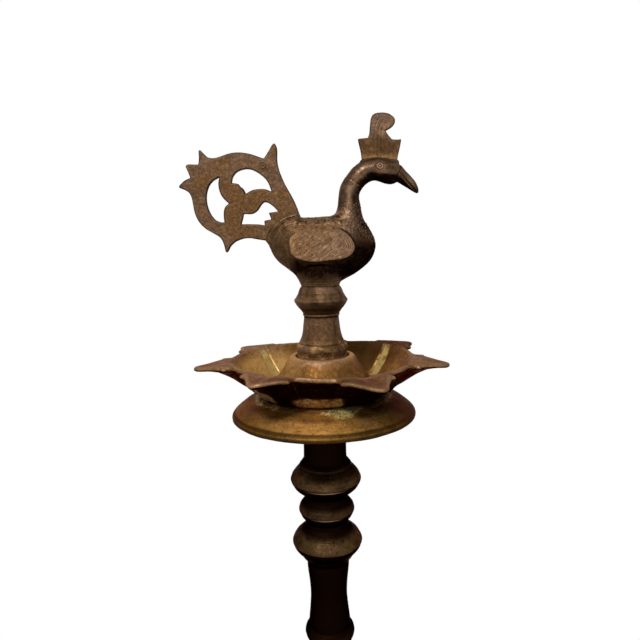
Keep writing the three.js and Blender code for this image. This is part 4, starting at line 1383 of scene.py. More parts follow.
def ring_mark_tree():
    """A ring and a dot, laid on each point of the input, turned to its facing and sized by its reach."""
    g = Graph(new_tree("ring_and_dot_marks", [
        ("Bead", "NodeSocketFloat", 0.2), ("Dot", "NodeSocketFloat", 0.34), ("Wear", "NodeSocketFloat", 0.5),
        ("Material", "NodeSocketMaterial", None),
    ]))
    circle, bead = [
        g.add("GeometryNodeCurvePrimitiveCircle", {"Resolution": sides, "Radius": radius}, mode="RADIUS")
        for sides, radius in ((28, 1.0), (8, group_input(g, "Bead")))
    ]
    ring = g.add("GeometryNodeCurveToMesh", {"Curve": circle, "Profile Curve": bead})
    ball = g.add("GeometryNodeMeshUVSphere", {"Segments": 14, "Rings": 8, "Radius": group_input(g, "Dot")})
    dot = g.add("GeometryNodeTransform", {"Geometry": ball, "Scale": (1, 1, 0.75)})
    both = g.add("GeometryNodeJoinGeometry", {"Geometry": ring})
    g.tree.links.new(dot.socket, both.socket.node.inputs["Geometry"])
    facing = g.add("GeometryNodeInputNamedAttribute", {"Name": "facing"}, data_type="FLOAT_VECTOR")
    reach = g.add("GeometryNodeInputNamedAttribute", {"Name": "reach"}, data_type="FLOAT")
    turn = g.add("FunctionNodeAlignRotationToVector", {"Vector": facing}, axis="Z")
    marks = g.add("GeometryNodeInstanceOnPoints", {
        "Points": group_input(g, "Geometry"), "Instance": both, "Rotation": turn, "Scale": reach,
    })
    return finished_tree(g, marks)


def fleck_tree():
    """Small raised feather flecks scattered over the input's faces, lying down its slope."""
    g = Graph(new_tree("feather_flecks", [
        ("Length", "NodeSocketFloat", 0.0015), ("Gap", "NodeSocketFloat", 0.0017),
        ("Seed", "NodeSocketInt", 5), ("Wear", "NodeSocketFloat", 0.5),
        ("Material", "NodeSocketMaterial", None),
    ]))
    scatter = g.add("GeometryNodeDistributePointsOnFaces", {
        "Mesh": group_input(g, "Geometry"), "Distance Min": group_input(g, "Gap"), "Density Max": 900000.0,
        "Seed": group_input(g, "Seed"),
    }, distribute_method="POISSON")
    normal = Wire(g, scatter.socket.node.outputs["Normal"])
    upright = g.add("FunctionNodeAlignRotationToVector", {"Vector": normal}, axis="Z")
    inputs = {"Rotation": upright, "Vector": (-0.2, 0.0, -1.0)}
    laid = g.add("FunctionNodeAlignRotationToVector", inputs, axis="X", pivot_axis="Z")
    ball = g.add("GeometryNodeMeshUVSphere", {"Segments": 8, "Rings": 5, "Radius": 0.5})
    shape = g.add("GeometryNodeTransform", {"Geometry": ball, "Scale": (1, 0.42, 0.26)})
    inputs = {2: 0.6, 3: 1.15, "Seed": group_input(g, "Seed")}
    size = g.add("FunctionNodeRandomValue", inputs, output=1, data_type="FLOAT")
    flecks = g.add("GeometryNodeInstanceOnPoints", {
        "Points": scatter, "Instance": shape, "Rotation": laid, "Scale": size * group_input(g, "Length"),
    })
    return finished_tree(g, flecks)


def plain_mesh(thing, name):
    """The mesh of an object with its modifiers applied; the object itself goes."""
    mesh = bpy.data.meshes.new_from_object(thing.evaluated_get(bpy.context.evaluated_depsgraph_get()))
    bpy.data.objects.remove(thing)
    mesh.name = name
    return mesh


def marked(name, points, faces, tree, inputs, layers=()):
    """Runs a tree on a small carrier mesh and gives back its result as a plain object."""
    carrier = object_of(name, np.asarray(points, float), faces)
    for label, kind, values in layers:
        layer = carrier.data.attributes.new(label, kind, "POINT")
        field = "vector" if kind == "FLOAT_VECTOR" else "value"
        layer.data.foreach_set(field, np.ravel(values).astype(np.float32))
    modifier = carrier.modifiers.new(tree.name, "NODES")
    modifier.node_group = tree
    labels = {item.name: item.identifier for item in tree.interface.items_tree if item.in_out == "INPUT"}
    for label, value in inputs.items():
        modifier[labels[label]] = value
    return object_from(name, plain_mesh(carrier, name))


# Operators
class Maker:
    """What the lamp's operators share."""

    bl_options = {"REGISTER", "UNDO"}

    def execute(self, context):
        self.make(context.scene.lamp_sizes, context.scene.lamp_finish)
        return {"FINISHED"}


class LAMP_OT_foot(Maker, bpy.types.Operator):
    """Makes the bell-shaped foot"""

    bl_idname = "lamp.foot"
    bl_label = "Foot"

    def make(self, sizes, finish):
        foot = turned("foot_bell", foot_profile(), 0, sides=176, step=0.9, rounding=0.7)
        roughened(foot, sizes, 5, still=self.still)
        aged(foot, soot=underside, gold=self.gold, rub=0.1, dirt=0.6, seed=5)
        dressed(foot, finish, "aged_shaft", "base", "foot_bronze", "base_bell")

    @staticmethod
    def still(points):
        """The face it stands on and its widest edge stay true."""
        return np.maximum(ramp(points[:, 2], 1.5, 0.2), ramp(radius_of(points), 113, 114.5))

    @staticmethod
    def gold(face):
        """Brown metal showing on the rim and the bead."""
        patchy = np.clip(0.5 + 0.9 * face.noise(16, 91), 0, 1.4)
        rim = ramp(face.radius, 98, 108) * ramp(face.z, 2, 6)
        return (0.04 + 0.1 * np.maximum(rim, ramp(face.z, 84, 90))) * patchy


def bright_lips(face):
    """A painted highlight on the lower corner of the upper two lips of a shaft's rings, towards the front.
    """
    second = -BIG_RING_HEIGHT - RING_SPACE
    first_lip = bell(face.z + BIG_RING_HEIGHT * 0.57, 0.5) * ramp(face.radius, 25.5, 26.5)
    second_lip = bell(face.z - second + SMALL_RING_HEIGHT * 0.54, 0.5) * ramp(face.radius, 20, 21)
    return (first_lip + second_lip) * bell(face.turn, 0.55)


class LAMP_OT_shafts(Maker, bpy.types.Operator):
    """Makes the two lengths of the shaft"""

    bl_idname = "lamp.shafts"
    bl_label = "Shafts"

    def make(self, sizes, finish):
        shafts = [
            ("lower_shaft", lower_shaft_profile(), LOWER_SHAFT_Z, LOWER_RINGS_TOP, 7),
            ("upper_shaft", upper_shaft_profile(), UPPER_SHAFT_Z, UPPER_RINGS_TOP, 9),
        ]
        for node, profile, height, rings_top, seed in shafts:
            shaft = turned(f"{node}_turned", profile, height, sides=160, rounding=0.45)
            roughened(shaft, sizes, seed, still=near_axis(8, 6.5))
            aged(
                shaft, height + rings_top, soot=self.soot, gold=self.gold, wear_and_sheen=bright_lips, rub=0.05,
                seed=seed,
            )
            dressed(shaft, finish, "aged_shaft", node, "shaft_bronze", node)

    @staticmethod
    def soot(face):
        """Painted shade under every lip and in the necks, and a painted shadow on the shoulder of the upper
        ring.
        """
        below = ramp(-face.nz, 0.08, 0.3) * (1 - np.clip(bright_lips(face) * 1.5, 0, 1))
        necks = ramp(face.radius, 22, 18)
        shoulder = ramp(face.nz, 0.35, 0.8) * ramp(face.turn, -0.9, -0.2) * ramp(face.z, -18, -8) * 0.8
        return strongest(below, necks, shoulder)

    @staticmethod
    def gold(face):
        """Brown metal showing on the widest part of each ring."""
        return ramp(face.radius, 18, 26) * 0.13 * np.clip(0.6 + 0.9 * face.noise(7, 92), 0, 1.4)


SCALE_PATCH = (11, -49)  # x and y of the pale patch in front of the dish's seat
SHADE_PATCH = (33, -33)  # and of the painted shadow at its right


def patch_distance(points):
    """Distance from the middle of the pan's pale patch, which is wider than it is deep."""
    return np.hypot(points[:, 0] - SCALE_PATCH[0], (points[:, 1] - SCALE_PATCH[1]) * 1.4)


def pan_lip(face):
    """The pan's lip, and the line along its middle."""
    return ramp(face.radius, 66.4, 67.6), bell(face.z - 8.6, 0.4)


class LAMP_OT_drip_pan(Maker, bpy.types.Operator):
    """Makes the drip pan, with the crust round the dish's seat"""

    bl_idname = "lamp.drip_pan"
    bl_label = "Drip Pan"

    def make(self, sizes, finish):
        pan = turned("pan_dome", pan_profile(), PAN_Z, sides=230, step=0.7)
        roughened(pan, sizes, 13, still=near_axis(30, 26))
        points = points_of(pan)
        radius = radius_of(points)
        crust = self.crust(points, radius)
        lumps = 0.5 + 0.5 * layered_noise(points, 2.6, 71)
        heap = ramp(radius, 44, 46) * ramp(radius, 53, 49) * 1.2
        set_points(pan, points + np.outer(crust * (lumps * 0.7 + heap), [0, 0, 1]))
        aged(pan, PAN_Z, soot=self.soot, gold=self.gold, dirt=0.2, seed=13)
        store(pan, "crust", crust)
        store(pan, "pale", ramp(patch_distance(points), 13, 5))
        dressed(pan, finish, "aged_pan", "drip_pan", "golden_brass", "drip_pan")

    @staticmethod
    def crust(points, radius):
        """Verdigris and old oil round the seat, and a patch of it at the front."""
        above = ramp(points[:, 2], PAN_Z + 14, PAN_Z + 16)
        ring = ramp(radius, 43, 46) * ramp(radius, 57, 50) * (0.45 + 0.6 * layered_noise(points, 7, 72))
        patch = ramp(patch_distance(points), 15, 5) * 0.9
        return np.clip(np.maximum(ring, patch) * above, 0, 1)

    @staticmethod
    def soot(face):
        """Painted shade below the pan and at its sides, darker at its right, a darker lip, and a painted
        shadow of the dish's bowl at its front right.
        """
        lip, line = pan_lip(face)
        turn = np.abs(face.turn)
        side = ramp(turn, 0.55, 1.1) * ramp(turn, 2.6, 1.6) * np.where(face.turn > 0, 0.6, 0.3)
        shade = ramp(np.hypot(face.x - SHADE_PATCH[0], face.y - SHADE_PATCH[1]), 13, 6) * 0.9
        return strongest(underside(face), side, lip * 0.6 * (1 - 0.7 * line), shade)

    @staticmethod
    def gold(face):
        """Golden patches on the dome, a broad painted highlight of rubbed golden metal at its front and its
        left end, and a painted highlight along the front of its lip.
        """
        lip, line = pan_lip(face)
        front = bell(face.turn + 0.15, 0.6) * 1.4 + bell(face.turn + 1.4, 0.3) * 0.25
        patches = ramp(face.noise(26, 74), 0.1, 0.6) * 0.3
        dome = np.maximum(front, patches) * (1 - 0.85 * lip) * ramp(face.nz, 0.1, 0.4)
        patchy = 0.75 + 0.5 * face.noise(9, 75, (1, 1, 3))
        return np.maximum(dome * patchy, line * lip * bell(face.turn, 0.6) * 0.3)


def wick_channels(points, sizes):
    """1 in the wick channels and at their feet."""
    radius = radius_of(points)
    _, across, _ = spout_place(points, sizes)
    away = np.abs(across + layered_noise(points, 3.5, 79) * 2.4)
    half = mm(sizes.channel_width) / 2
    channel = ramp(away, half + 1.8, half - 2.4) * ramp(radius, 43, 49) * ramp(radius, 72, 64)
    return np.maximum(channel, ramp(away, 12, 4) * ramp(radius, 40, 45) * ramp(radius, 56, 49) * 0.6)


class LAMP_OT_oil_dish(Maker, bpy.types.Operator):
    """Makes the star-shaped oil dish"""

    bl_idname = "lamp.oil_dish"
    bl_label = "Oil Dish"

    def make(self, sizes, finish):
        dish = cast_part("star_dish", *dish_mesh(sizes))
        roughened(dish, sizes, 23, still=near_axis(12, 8))
        crust = self.crust(Face(dish, RIM_Z), sizes)
        raised(dish, layered_noise(points_of(dish), 2.4, 78) * crust * 0.5)
        channels = wick_channels(points_of(dish), sizes)
        aged(
            dish, RIM_Z, soot=lambda face: self.soot(face, channels) * (1 - crust),
            green=lambda face: self.green(face, channels), gold=self.gold, rust=self.rust, dirt=0.2,
            rounds=12, edge=0.14, seed=23,
        )
        store(dish, "crust", crust)
        dressed(dish, finish, "aged_dish", "oil_dish", "golden_brass", "oil_dish")

    @staticmethod
    def soot(face, channels):
        """Painted shade over the underside, a painted shadow on the right of the back wall, and a thin
        darkening over the front spouts.
        """
        below = ramp(-face.nz, 0.1, 0.5)
        back = ramp(face.y, 5, 40) * ramp(face.x, -25, 0) * ramp(face.radius, 44, 50) * 0.72
        film = ramp(np.abs(face.x), 42, 24) * (0.4 + 0.3 * face.noise(6, 95))
        front = ramp(face.y, -58, -66) * ramp(face.radius, 70, 73) * film
        return strongest(below, back * (1 - 0.9 * channels), front)

    @staticmethod
    def green(face, channels):
        """Yellow-green skin in the wick channels."""
        return channels * ramp(face.nz, 0.1, 0.4) * (0.75 + 0.7 * face.noise(3.5, 77))

    @staticmethod
    def gold(face):
        """Golden panels at the left of the bowl and a golden edge to the mound's seat, and a painted
        highlight on the left side of the mound.
        """
        panels = ramp(face.radius, 42, 47) * ramp(face.radius, 68, 57) * ramp(face.x, -20, -42) * 1.6
        seat = bell(face.radius - 22.4, 1.3) * ramp(face.z, 3.6, 4.2) * 1.4
        mound = ramp(face.radius, 42, 36) * ramp(face.x, -12, -24) * 0.45
        return strongest(panels, seat, mound) * ramp(face.nz, 0.1, 0.4)

    @staticmethod
    def rust(face):
        """Darker brown spouts, rim and mound."""
        mound = ramp(face.radius, 46, 40) * 0.85
        return np.maximum(ramp(face.radius, 56, 64), mound) * (0.8 + 0.4 * face.noise(6, 94))

    @staticmethod
    def crust(face, sizes):
        """Dry crust on the foot of the bowl, in the hollows between the spouts' keels."""
        _, _, turn = spout_place(face.points, sizes)
        turn = turn + 0.1 * face.noise(5, 90)
        height = face.z + 1.6 * face.noise(4, 91)
        bare = ramp(face.x, 22, 30) * ramp(face.y, -8, -16)
        panel = ramp(turn, 0.24, 0.5) * ramp(height, -14.0, -16.6) * ramp(-face.nz, -0.2, 0.1)
        return panel * (1 - bare) * (0.78 + 0.6 * face.noise(5, 92))


class LAMP_OT_column(Maker, bpy.types.Operator):
    """Makes the turned column under the bird"""

    bl_idname = "lamp.column"
    bl_label = "Column"

    def make(self, sizes, finish):
        column = turned("knobbed_column", column_profile(), COLUMN_Z, sides=160, step=0.45, rounding=0.35)
        roughened(column, sizes, 29, still=near_axis(8, 6.5))
        aged(column, COLUMN_Z, soot=self.soot, gold=self.gold, rust=self.rust, edge=0.08, seed=29)
        dressed(column, finish, "aged_column", "finial_column", "column_bronze", "finial_column")

    @staticmethod
    def soot(face):
        """Painted shade under the knob, and a streaky sooty film all over."""
        film = ramp(face.noise(5, 98, (1, 1, 0.4)), 0.0, 0.5) * 0.4 + 0.2
        return np.maximum(underside(face) * 0.8 * ramp(face.z, 8, 12), film)

    @staticmethod
    def gold(face):
        """Golden blotches on the ring at the foot."""
        return ramp(face.z, 16, 11) * 0.75 * ramp(face.noise(3.5, 96), -0.1, 0.45)

    @staticmethod
    def rust(face):
        """Browner metal in streaks, the most towards the foot."""
        return np.maximum(ramp(face.z, 24, 12), 0.5 + 0.6 * face.noise(4, 97, (1, 1, 0.4)))


def back_gold(face):
    """Golden metal in the chasing of the bird's back, on its rump and its foot."""
    x, z = face.x, face.z
    marks = ramp(chasing(face.local), 0.0, 0.5)
    back = ramp(z, 42, 45) * ramp(z, 56, 52) * ramp(x, 24, 16) * (0.04 + 0.3 * marks)
    foot = ramp(z, 7, 4) * np.clip(np.sin(z * 2 * math.pi / 1.9) + 0.4, 0, 1) * 0.45
    return strongest(back, ramp(x, -10, -20) * 0.2 * marks, foot)


class LAMP_OT_peacock(Maker, bpy.types.Operator):
    """Makes the bird's body, neck and head"""

    bl_idname = "lamp.peacock"
    bl_label = "Peacock"

    def make(self, sizes, finish):
        body = joined("bird_body", bird_parts(), 0.55)
        smoothed(body, 4)
        smoothed(body, 70, self.blend)
        raised(body, bird_relief(points_of(body), mm(sizes.engraving_depth)))
        roughened(body, sizes, 37, still=lambda points: ramp(points[:, 2], 1.5, 0.3))
        points = points_of(body)
        points[points[:, 2] < 0.4, 2] = 0  # so that it stands flat
        set_points(body, points + [0, 0, BIRD_Z])
        aged(
            body, BIRD_Z, soot=self.soot, gold=back_gold, rust=self.rust, wear_and_sheen=self.wear_and_sheen, rounds=14,
            edge=0.09, seed=37,
        )
        store(body, "gloss", ramp(Face(body, BIRD_Z).z, 46, 54))
        dressed(body, finish, "aged_bird", "peacock", "dark_bronze", "peacock_body")

    @staticmethod
    def blend(points):
        """Where the parts of the body run into each other: neck, foot and rump."""
        x, _, z = points.T
        neck = ramp(z, 35, 41) * ramp(z, 60, 54) * ramp(x, -4, 4)
        foot = ramp(z, 1.5, 4) * ramp(z, 17, 12) * 0.7
        return strongest(neck, foot, ramp(x, -10, -16) * ramp(z, 22, 27) * 0.45)

    @staticmethod
    def soot(face):
        """Painted shade under the wings and the belly, in the crevice at the wing's front, over the breast,
        and on the throat and the back of the neck and head beside the neck's highlight; a darker rump and
        lower beak; dirt in the chasing of the back, and a dark skin on the head.
        """
        x, z = face.x, face.z
        below = ramp(-face.nz, -0.1, 0.45) * ramp(z, 2, 8) * (0.45 + 0.55 * ramp(x, -27, -15))
        waver = z + 3.5 * face.noise(8, 39)
        belly = ramp(waver, 25, 13) * (0.48 + 0.52 * ramp(waver, 3, 11)) * ramp(x, -27, -15)
        breast = ramp(face.nx, -0.05, 0.45) * ramp(x, 9, 17) * ramp(z, 76, 68)
        side = ramp(x, 22, 27) * ramp(z, 52, 44) * 0.8
        rump = ramp(x, -6, -14) * ramp(z, 50, 42) * 0.65
        hollows = 0.4 + 0.4 * ramp(chasing(face.local), -0.1, -0.5)
        back = ramp(z, 38, 42) * ramp(z, 56, 52) * ramp(x, 20, 12) * hollows
        front = ramp(face.nx, 0.25, 0.75) * ramp(z, 40, 48) * ramp(x, 12, 16) * ramp(z, 84, 76) * 0.9
        behind = ramp(-face.nx, -0.1, 0.3) * ramp(z, 50, 56) * 0.72
        neck = strongest(ramp(z, 72, 80) * 0.58, front, behind)
        wing = -inside_distance(x, z, [wing_edge(1.5)])
        gap = ramp(wing, -1.5, -0.6) * ramp(x, 10, 18) * ramp(z, 45, 40) * ramp(np.abs(face.y), 9, 12)
        dark = strongest(breast, side, rump, back, neck) * (0.85 + 0.3 * face.noise(4, 38))
        low = ramp(waver, 52, 24) * ramp(x, 17, 25)
        beak = ramp(x, 57, 60) * ramp(z + (x - 60) * 1.25, 80.5, 77) * 0.7
        return strongest(below, belly, gap, dark, low, beak)

    @staticmethod
    def wear_and_sheen(face):
        """A painted highlight down the middle of the neck's sides."""
        facing = 0.87 * np.abs(face.ny) + 0.5 * face.nx
        neck = ramp(face.z, 44, 52) * ramp(face.z, 80, 70) * ramp(face.x, 12, 15)
        return ramp(facing, 0.82, 0.98) * neck * 1.15 * (0.75 + 0.6 * face.noise(3, 36, (1, 1, 0.5)))

    @staticmethod
    def rust(face):
        """Browner metal on the back, the rump, the foot and the head."""
        return strongest(ramp(face.x, 14, -4), ramp(face.z, 10, 6), ramp(face.x, 34, 44) * 0.8)


def wing_edge(step):
    """The closed edge of a wing, with a point about every `step`."""
    return spline([*WING_EDGE, WING_EDGE[0]], step)[:-1]


def wing_lines(points):
    """Growth lines along the wing's front and file strokes across the rest, from -1 to 1."""
    x, _, z = points.T
    inner = -inside_distance(x, z, [wing_edge(0.7)])
    front = ramp(x + 0.4 * (26 - z), 8, 18) * ramp(inner, 0.3, 0.8) * ramp(inner, 7.5, 5.5)
    growth = np.sin((inner + 0.3 * noise(points, 6, 80)) * 2 * math.pi / 1.45)
    growth *= 0.75 + 0.5 * noise(points, 4, 85)
    slant = np.stack([(x * 0.62 - z * 0.78) / 0.62, (x * 0.78 + z * 0.62) / 3.6, np.zeros(len(x))], axis=1)
    strokes = np.clip(noise(slant, 1.0, 83) * 1.4, -1, 1) * ramp(inner, 0.4, 1.2) * ramp(z, 45, 38) * 0.8
    return growth * front + strokes * (1 - front)


class LAMP_OT_wings(Maker, bpy.types.Operator):
    """Makes the two wings"""

    bl_idname = "lamp.wings"
    bl_label = "Wings"

    def make(self, sizes, finish):
        points, faces = cut_plate([wing_edge(0.7)], 0.34, (14.6, 20.3), 0.9, face=self.outer_face)
        for node, side in (("wing_left", 1), ("wing_right", -1)):
            wing = cast_part(f"{node}_cast", points * [1, side, 1], faces)
            self.engrave(wing, side, mm(sizes.engraving_depth))
            roughened(wing, sizes, 43 + side)
            set_points(wing, points_of(wing) + [0, 0, BIRD_Z])
            aged(
                wing, BIRD_Z, soot=self.soot, gold=back_gold, rust=self.rust, wear_and_sheen=self.wear_and_sheen, rub=0.2,
                rounds=12, seed=43 + side,
            )
            dressed(wing, finish, "aged_bird", "peacock", "dark_bronze", node)

    @staticmethod
    def outer_face(x, z):
        """Outer face of a wing: it leans in towards its top, the least at its front."""
        lean = 0.145 + 0.075 * ramp(x, 15, 4)
        return 20.4 - lean * np.clip(z - 19, 0, None) - 0.0012 * (x - 2) ** 2

    @staticmethod
    def engrave(wing, side, depth):
        """Cuts the growth lines and file strokes into the wing's face."""
        points = points_of(wing)
        outer = ramp(points[:, 1] * side, 16.0, 16.5)
        chased = chasing(points) * 1.4 * ramp(points[:, 2], 37, 43)
        raised(wing, (wing_lines(points) * 0.3 + chased) * depth * outer)

    @staticmethod
    def soot(face):
        """Painted shade under a wing's lower edge, and dirt between its lines and in the chasing of its top.
        """
        between = ramp(wing_lines(face.local), -0.2, -0.9) * 0.3
        chased = ramp(face.z, 38, 42) * (0.4 + 0.4 * ramp(chasing(face.local), -0.1, -0.5))
        return strongest(ramp(-face.nz, 0.75, 0.95) * 0.95, between, chased)

    @staticmethod
    def rust(face):
        """Browner metal towards the wing's rear and top."""
        return np.maximum(ramp(face.x, 10, -18) * 0.8, ramp(face.z, 36, 44))

    @staticmethod
    def wear_and_sheen(face):
        """A brighter face of a wing, the brightest towards its lower front, with a bright band along its
        lower edge.
        """
        rim = ramp(-face.nz, 0.1, 0.3) * ramp(face.z, 32, 26) * 0.9
        bright = 0.1 + 0.75 * ramp(face.x - 0.6 * (face.z - 26), -6, 18)
        crests = 0.35 + 0.65 * ramp(wing_lines(face.local), 0.0, 0.8)
        return np.maximum(rim, bright * crests * ramp(np.abs(face.ny), 0.6, 0.9))


LOBES_PLACE = (-53, 61)  # x and z of the middle of the tail's lobes
LOBE_LINES = [
    [[-65, 61.5], [-61.5, 60.5], [-57.5, 57.5], [-54.5, 53.7]],
    [[-52.4, 67.9], [-55.5, 64.5], [-59.5, 62.3], [-65, 61.5]],
    [[-48.3, 70.2], [-52.5, 66.0], [-54.5, 62.0], [-54.0, 58.0], [-50.5, 54.2]],
]


def dark_border(face, loops):
    """A darker band along the outlines of a flat casting's faces."""
    inner = -inside_distance(face.x, face.z, loops)
    return ramp(inner, 1.7, 0.5) * 0.85 * (0.75 + 0.5 * face.noise(6, 93))


def dark_edges(face):
    """Painted shade on the edges of the flat castings, the least on edges that face up."""
    return ramp(np.abs(face.ny), 0.95, 0.5) * (0.85 - 0.45 * ramp(face.nz, 0.1, 0.6))


def flat_sides(face):
    """1 on the flat sides of the flat castings."""
    return ramp(np.abs(face.ny), 0.8, 0.97)


class LAMP_OT_tail(Maker, bpy.types.Operator):
    """Makes the pierced tail"""

    bl_idname = "lamp.tail"
    bl_label = "Tail"

    def make(self, sizes, finish):
        loops = [outline(runs) for runs in [tail_runs(), *tail_opening_runs()]]
        fine = [resampled(loop, 0.9, closed=True) for loop in loops]
        tail = cast_part("pierced_tail", *cut_plate(fine, 0.42, (-TAIL_HALF, TAIL_HALF), 0.85))
        self.engrave(tail)
        roughened(tail, sizes, 53)
        set_points(tail, points_of(tail) + [0, 0, BIRD_Z])
        border = [resampled(loop, 1.5, closed=True) for loop in loops]
        aged(
            tail, BIRD_Z, soot=lambda face: np.maximum(dark_edges(face), dark_border(face, border)),
            gold=self.gold, rust=self.rust, edge=0.12, seed=53,
        )
        dressed(tail, finish, "aged_tail", "peacock", "dark_bronze", "tail_plate")

    @staticmethod
    def engrave(tail):
        """Cuts an arc about the first punch and the lines between the lobes."""
        face = Face(tail)
        x, z, _ = PUNCHES[0]
        cut = groove(np.hypot(face.x - x, face.z - z) - 5.4, 0.5, 0.12) * ramp(face.z, 47.6, 48.6)
        for line in LOBE_LINES:
            cut += groove(line_distance(face.points, line), 0.55, 0.16)
        raised(tail, -cut * flat_sides(face))

    @staticmethod
    def gold(face):
        """Small golden spots."""
        return ramp(face.noise(5, 55), 0.25, 0.7) * 0.22

    @staticmethod
    def rust(face):
        """Browner lobes in the middle of the tail, and brown blotches elsewhere."""
        away = np.hypot(face.x - LOBES_PLACE[0], face.z - LOBES_PLACE[1])
        return np.maximum(ramp(away, 27, 15), ramp(face.noise(12, 54), -0.05, 0.4) * 0.85)


CREST_TOP = 122.5
CREST_LINES = [
    [[44.2, 92], [44.4, 100], [44.6, 108], [45.6, 113.5], [48.4, 117.2]],
    [[47.2, 92.5], [47.0, 99], [46.6, 106], [47.6, 111.5], [50.6, 115]],
    [[41.4, 93], [41.8, 100], [42.0, 107], [42.6, 113], [44.4, 117.5]],
    [[36.0, 94], [35.4, 99], [34.4, 102.6]],
    [[55.0, 94], [56.0, 99], [57.4, 102]],
]


class LAMP_OT_crest(Maker, bpy.types.Operator):
    """Makes the crest"""

    bl_idname = "lamp.crest"
    bl_label = "Crest"

    def make(self, sizes, finish):
        loop = resampled(outline(crest_runs()), 0.6, closed=True)
        crest = cast_part("head_crest", *cut_plate([loop], 0.36, (-CREST_HALF, CREST_HALF), 0.8))
        self.engrave(crest, mm(sizes.engraving_depth))
        roughened(crest, sizes, 59)
        points = points_of(crest)
        points[:, 2] = np.minimum(points[:, 2], CREST_TOP) + BIRD_Z
        set_points(crest, points)
        border = [resampled(loop, 1.2, closed=True)]
        aged(
            crest, BIRD_Z, soot=lambda face: np.maximum(self.soot(face), dark_border(face, border)),
            gold=self.gold, rust=self.rust, wear_and_sheen=self.wear_and_sheen, edge=0.11, seed=59,
        )
        dressed(crest, finish, "aged_tail", "peacock", "dark_bronze", "crest")

    @staticmethod
    def engrave(crest, depth):
        """Cuts the upright lines of the crest and the curl of its plume."""
        face = Face(crest)
        height = noise(face.points * [1, 1, 0.3], 0.9, 86) * depth * 0.08
        for line in CREST_LINES:
            height -= groove(line_distance(face.points, line), 0.5, depth * 0.4)
        raised(crest, height * flat_sides(face))

    @staticmethod
    def wear_and_sheen(face):
        """The rubbed face of the plume."""
        return ramp(face.z, 105, 112) * flat_sides(face) * 0.7

    @staticmethod
    def soot(face):
        """Painted shade on the edges, and a darker skin on the foot of the crest."""
        foot = ramp(face.z, 109, 102) * ramp(face.z, 91, 95) * (0.42 + 0.3 * face.noise(5, 56))
        return np.maximum(dark_edges(face), foot)

    @staticmethod
    def rust(face):
        """Browner metal below the plume."""
        return ramp(face.z, 106, 98) * 0.8

    @staticmethod
    def gold(face):
        """Golden skin where the crest meets the head, and small golden spots."""
        meeting = ramp(face.z + 2.5 * face.noise(5, 57), 95.5, 91) * 0.3
        return meeting + ramp(face.noise(6, 58), 0.2, 0.7) * 0.2


def ring_marks(name, tree, rows, material, bead, dot, wear_and_sheen):
    """Rings and dots from rows of place, facing and reach."""
    places, facing, reach = zip(*rows)
    layers = [("facing", "FLOAT_VECTOR", facing), ("reach", "FLOAT", reach)]
    values = {"Bead": bead, "Dot": dot, "Wear": wear_and_sheen, "Material": bpy.data.materials[material]}
    return marked(name, places, [np.empty((0, 3), int)], tree, values, layers)


class LAMP_OT_marks(Maker, bpy.types.Operator):
    """Makes the punched rings, the eyes and the feather flecks of the bird"""

    bl_idname = "lamp.marks"
    bl_label = "Marks"

    def make(self, sizes, finish):
        tree = ring_mark_tree()
        rows = [
            ([x, side * (TAIL_HALF - 0.05), z + BIRD_Z], [0, side, 0], radius * MM)
            for x, z, radius in PUNCHES for side in (-1, 1)
        ]
        punches = ring_marks("tail_punches", tree, rows, "aged_tail", 0.24, 0.38, 0.6)
        dressed(punches, finish, "aged_tail", "peacock", "dark_bronze")
        body = bpy.data.objects["bird_body"]
        for thing in (self.eyes(body, tree), self.flecks(body, sizes)):
            dressed(thing, finish, "aged_bird", "peacock", "dark_bronze")

    @staticmethod
    def eyes(body, tree):
        """A ring and a dot for each eye, on the skin of the head."""
        points, normals = points_of(body), normals_of(body)
        rows = []
        for side in (-1, 1):
            spot = np.array([EYE[0], side * HEAD_HALF, EYE[1] + BIRD_Z])
            near = np.linalg.norm(points - spot, axis=1).argsort()[:40]
            rows.append((points[near].mean(axis=0), normals[near].mean(axis=0), EYE_RADIUS * MM))
        return ring_marks("bird_eyes", tree, rows, "aged_bird", 0.3, 0.5, 2.4)

    @staticmethod
    def flecks(body, sizes):
        """Feather flecks on the breast and the foot of the neck."""
        points = points_of(body)
        quads = numbers_of(body.data.loops, "vertex_index", 1, np.int32).reshape(-1, 4)
        middle = points[quads].mean(axis=1)
        x, z = middle[:, 0], middle[:, 2] - BIRD_Z
        chosen = (z > 37 + 0.7 * (30 - x)) & (z < 58.5) & (x > 17)
        used, faces = np.unique(quads[chosen], return_inverse=True)
        values = {
            "Length": sizes.fleck_length, "Gap": sizes.fleck_gap, "Seed": 5, "Wear": 0.3,
            "Material": bpy.data.materials["aged_bird"],
        }
        return marked("breast_flecks", points[used], [faces.reshape(-1, 4)], fleck_tree(), values)


class LAMP_OT_studs(Maker, bpy.types.Operator):
    """Makes the plain studs between the pieces"""

    bl_idname = "lamp.studs"
    bl_label = "Studs"

    def make(self, sizes, finish):
        studs = [
            ("base_stud", "lower_shaft", STUD_RADIUS), ("shaft_stud", "upper_shaft", STUD_RADIUS),
            ("centre_stud", "upper_shaft", STUD_RADIUS), ("peacock_stud", "peacock", BIRD_STUD_RADIUS),
        ]
        for node, body, radius in studs:
            low = low_of(node)
            profile = stud_profile(radius, high_of(node) - low)
            stud = turned(f"{node}_turned", profile, low, sides=64, step=0.5, rounding=0.3)
            aged(stud, seed=61)
            dressed(stud, finish, "aged_stud", body, "stud_brass", node)


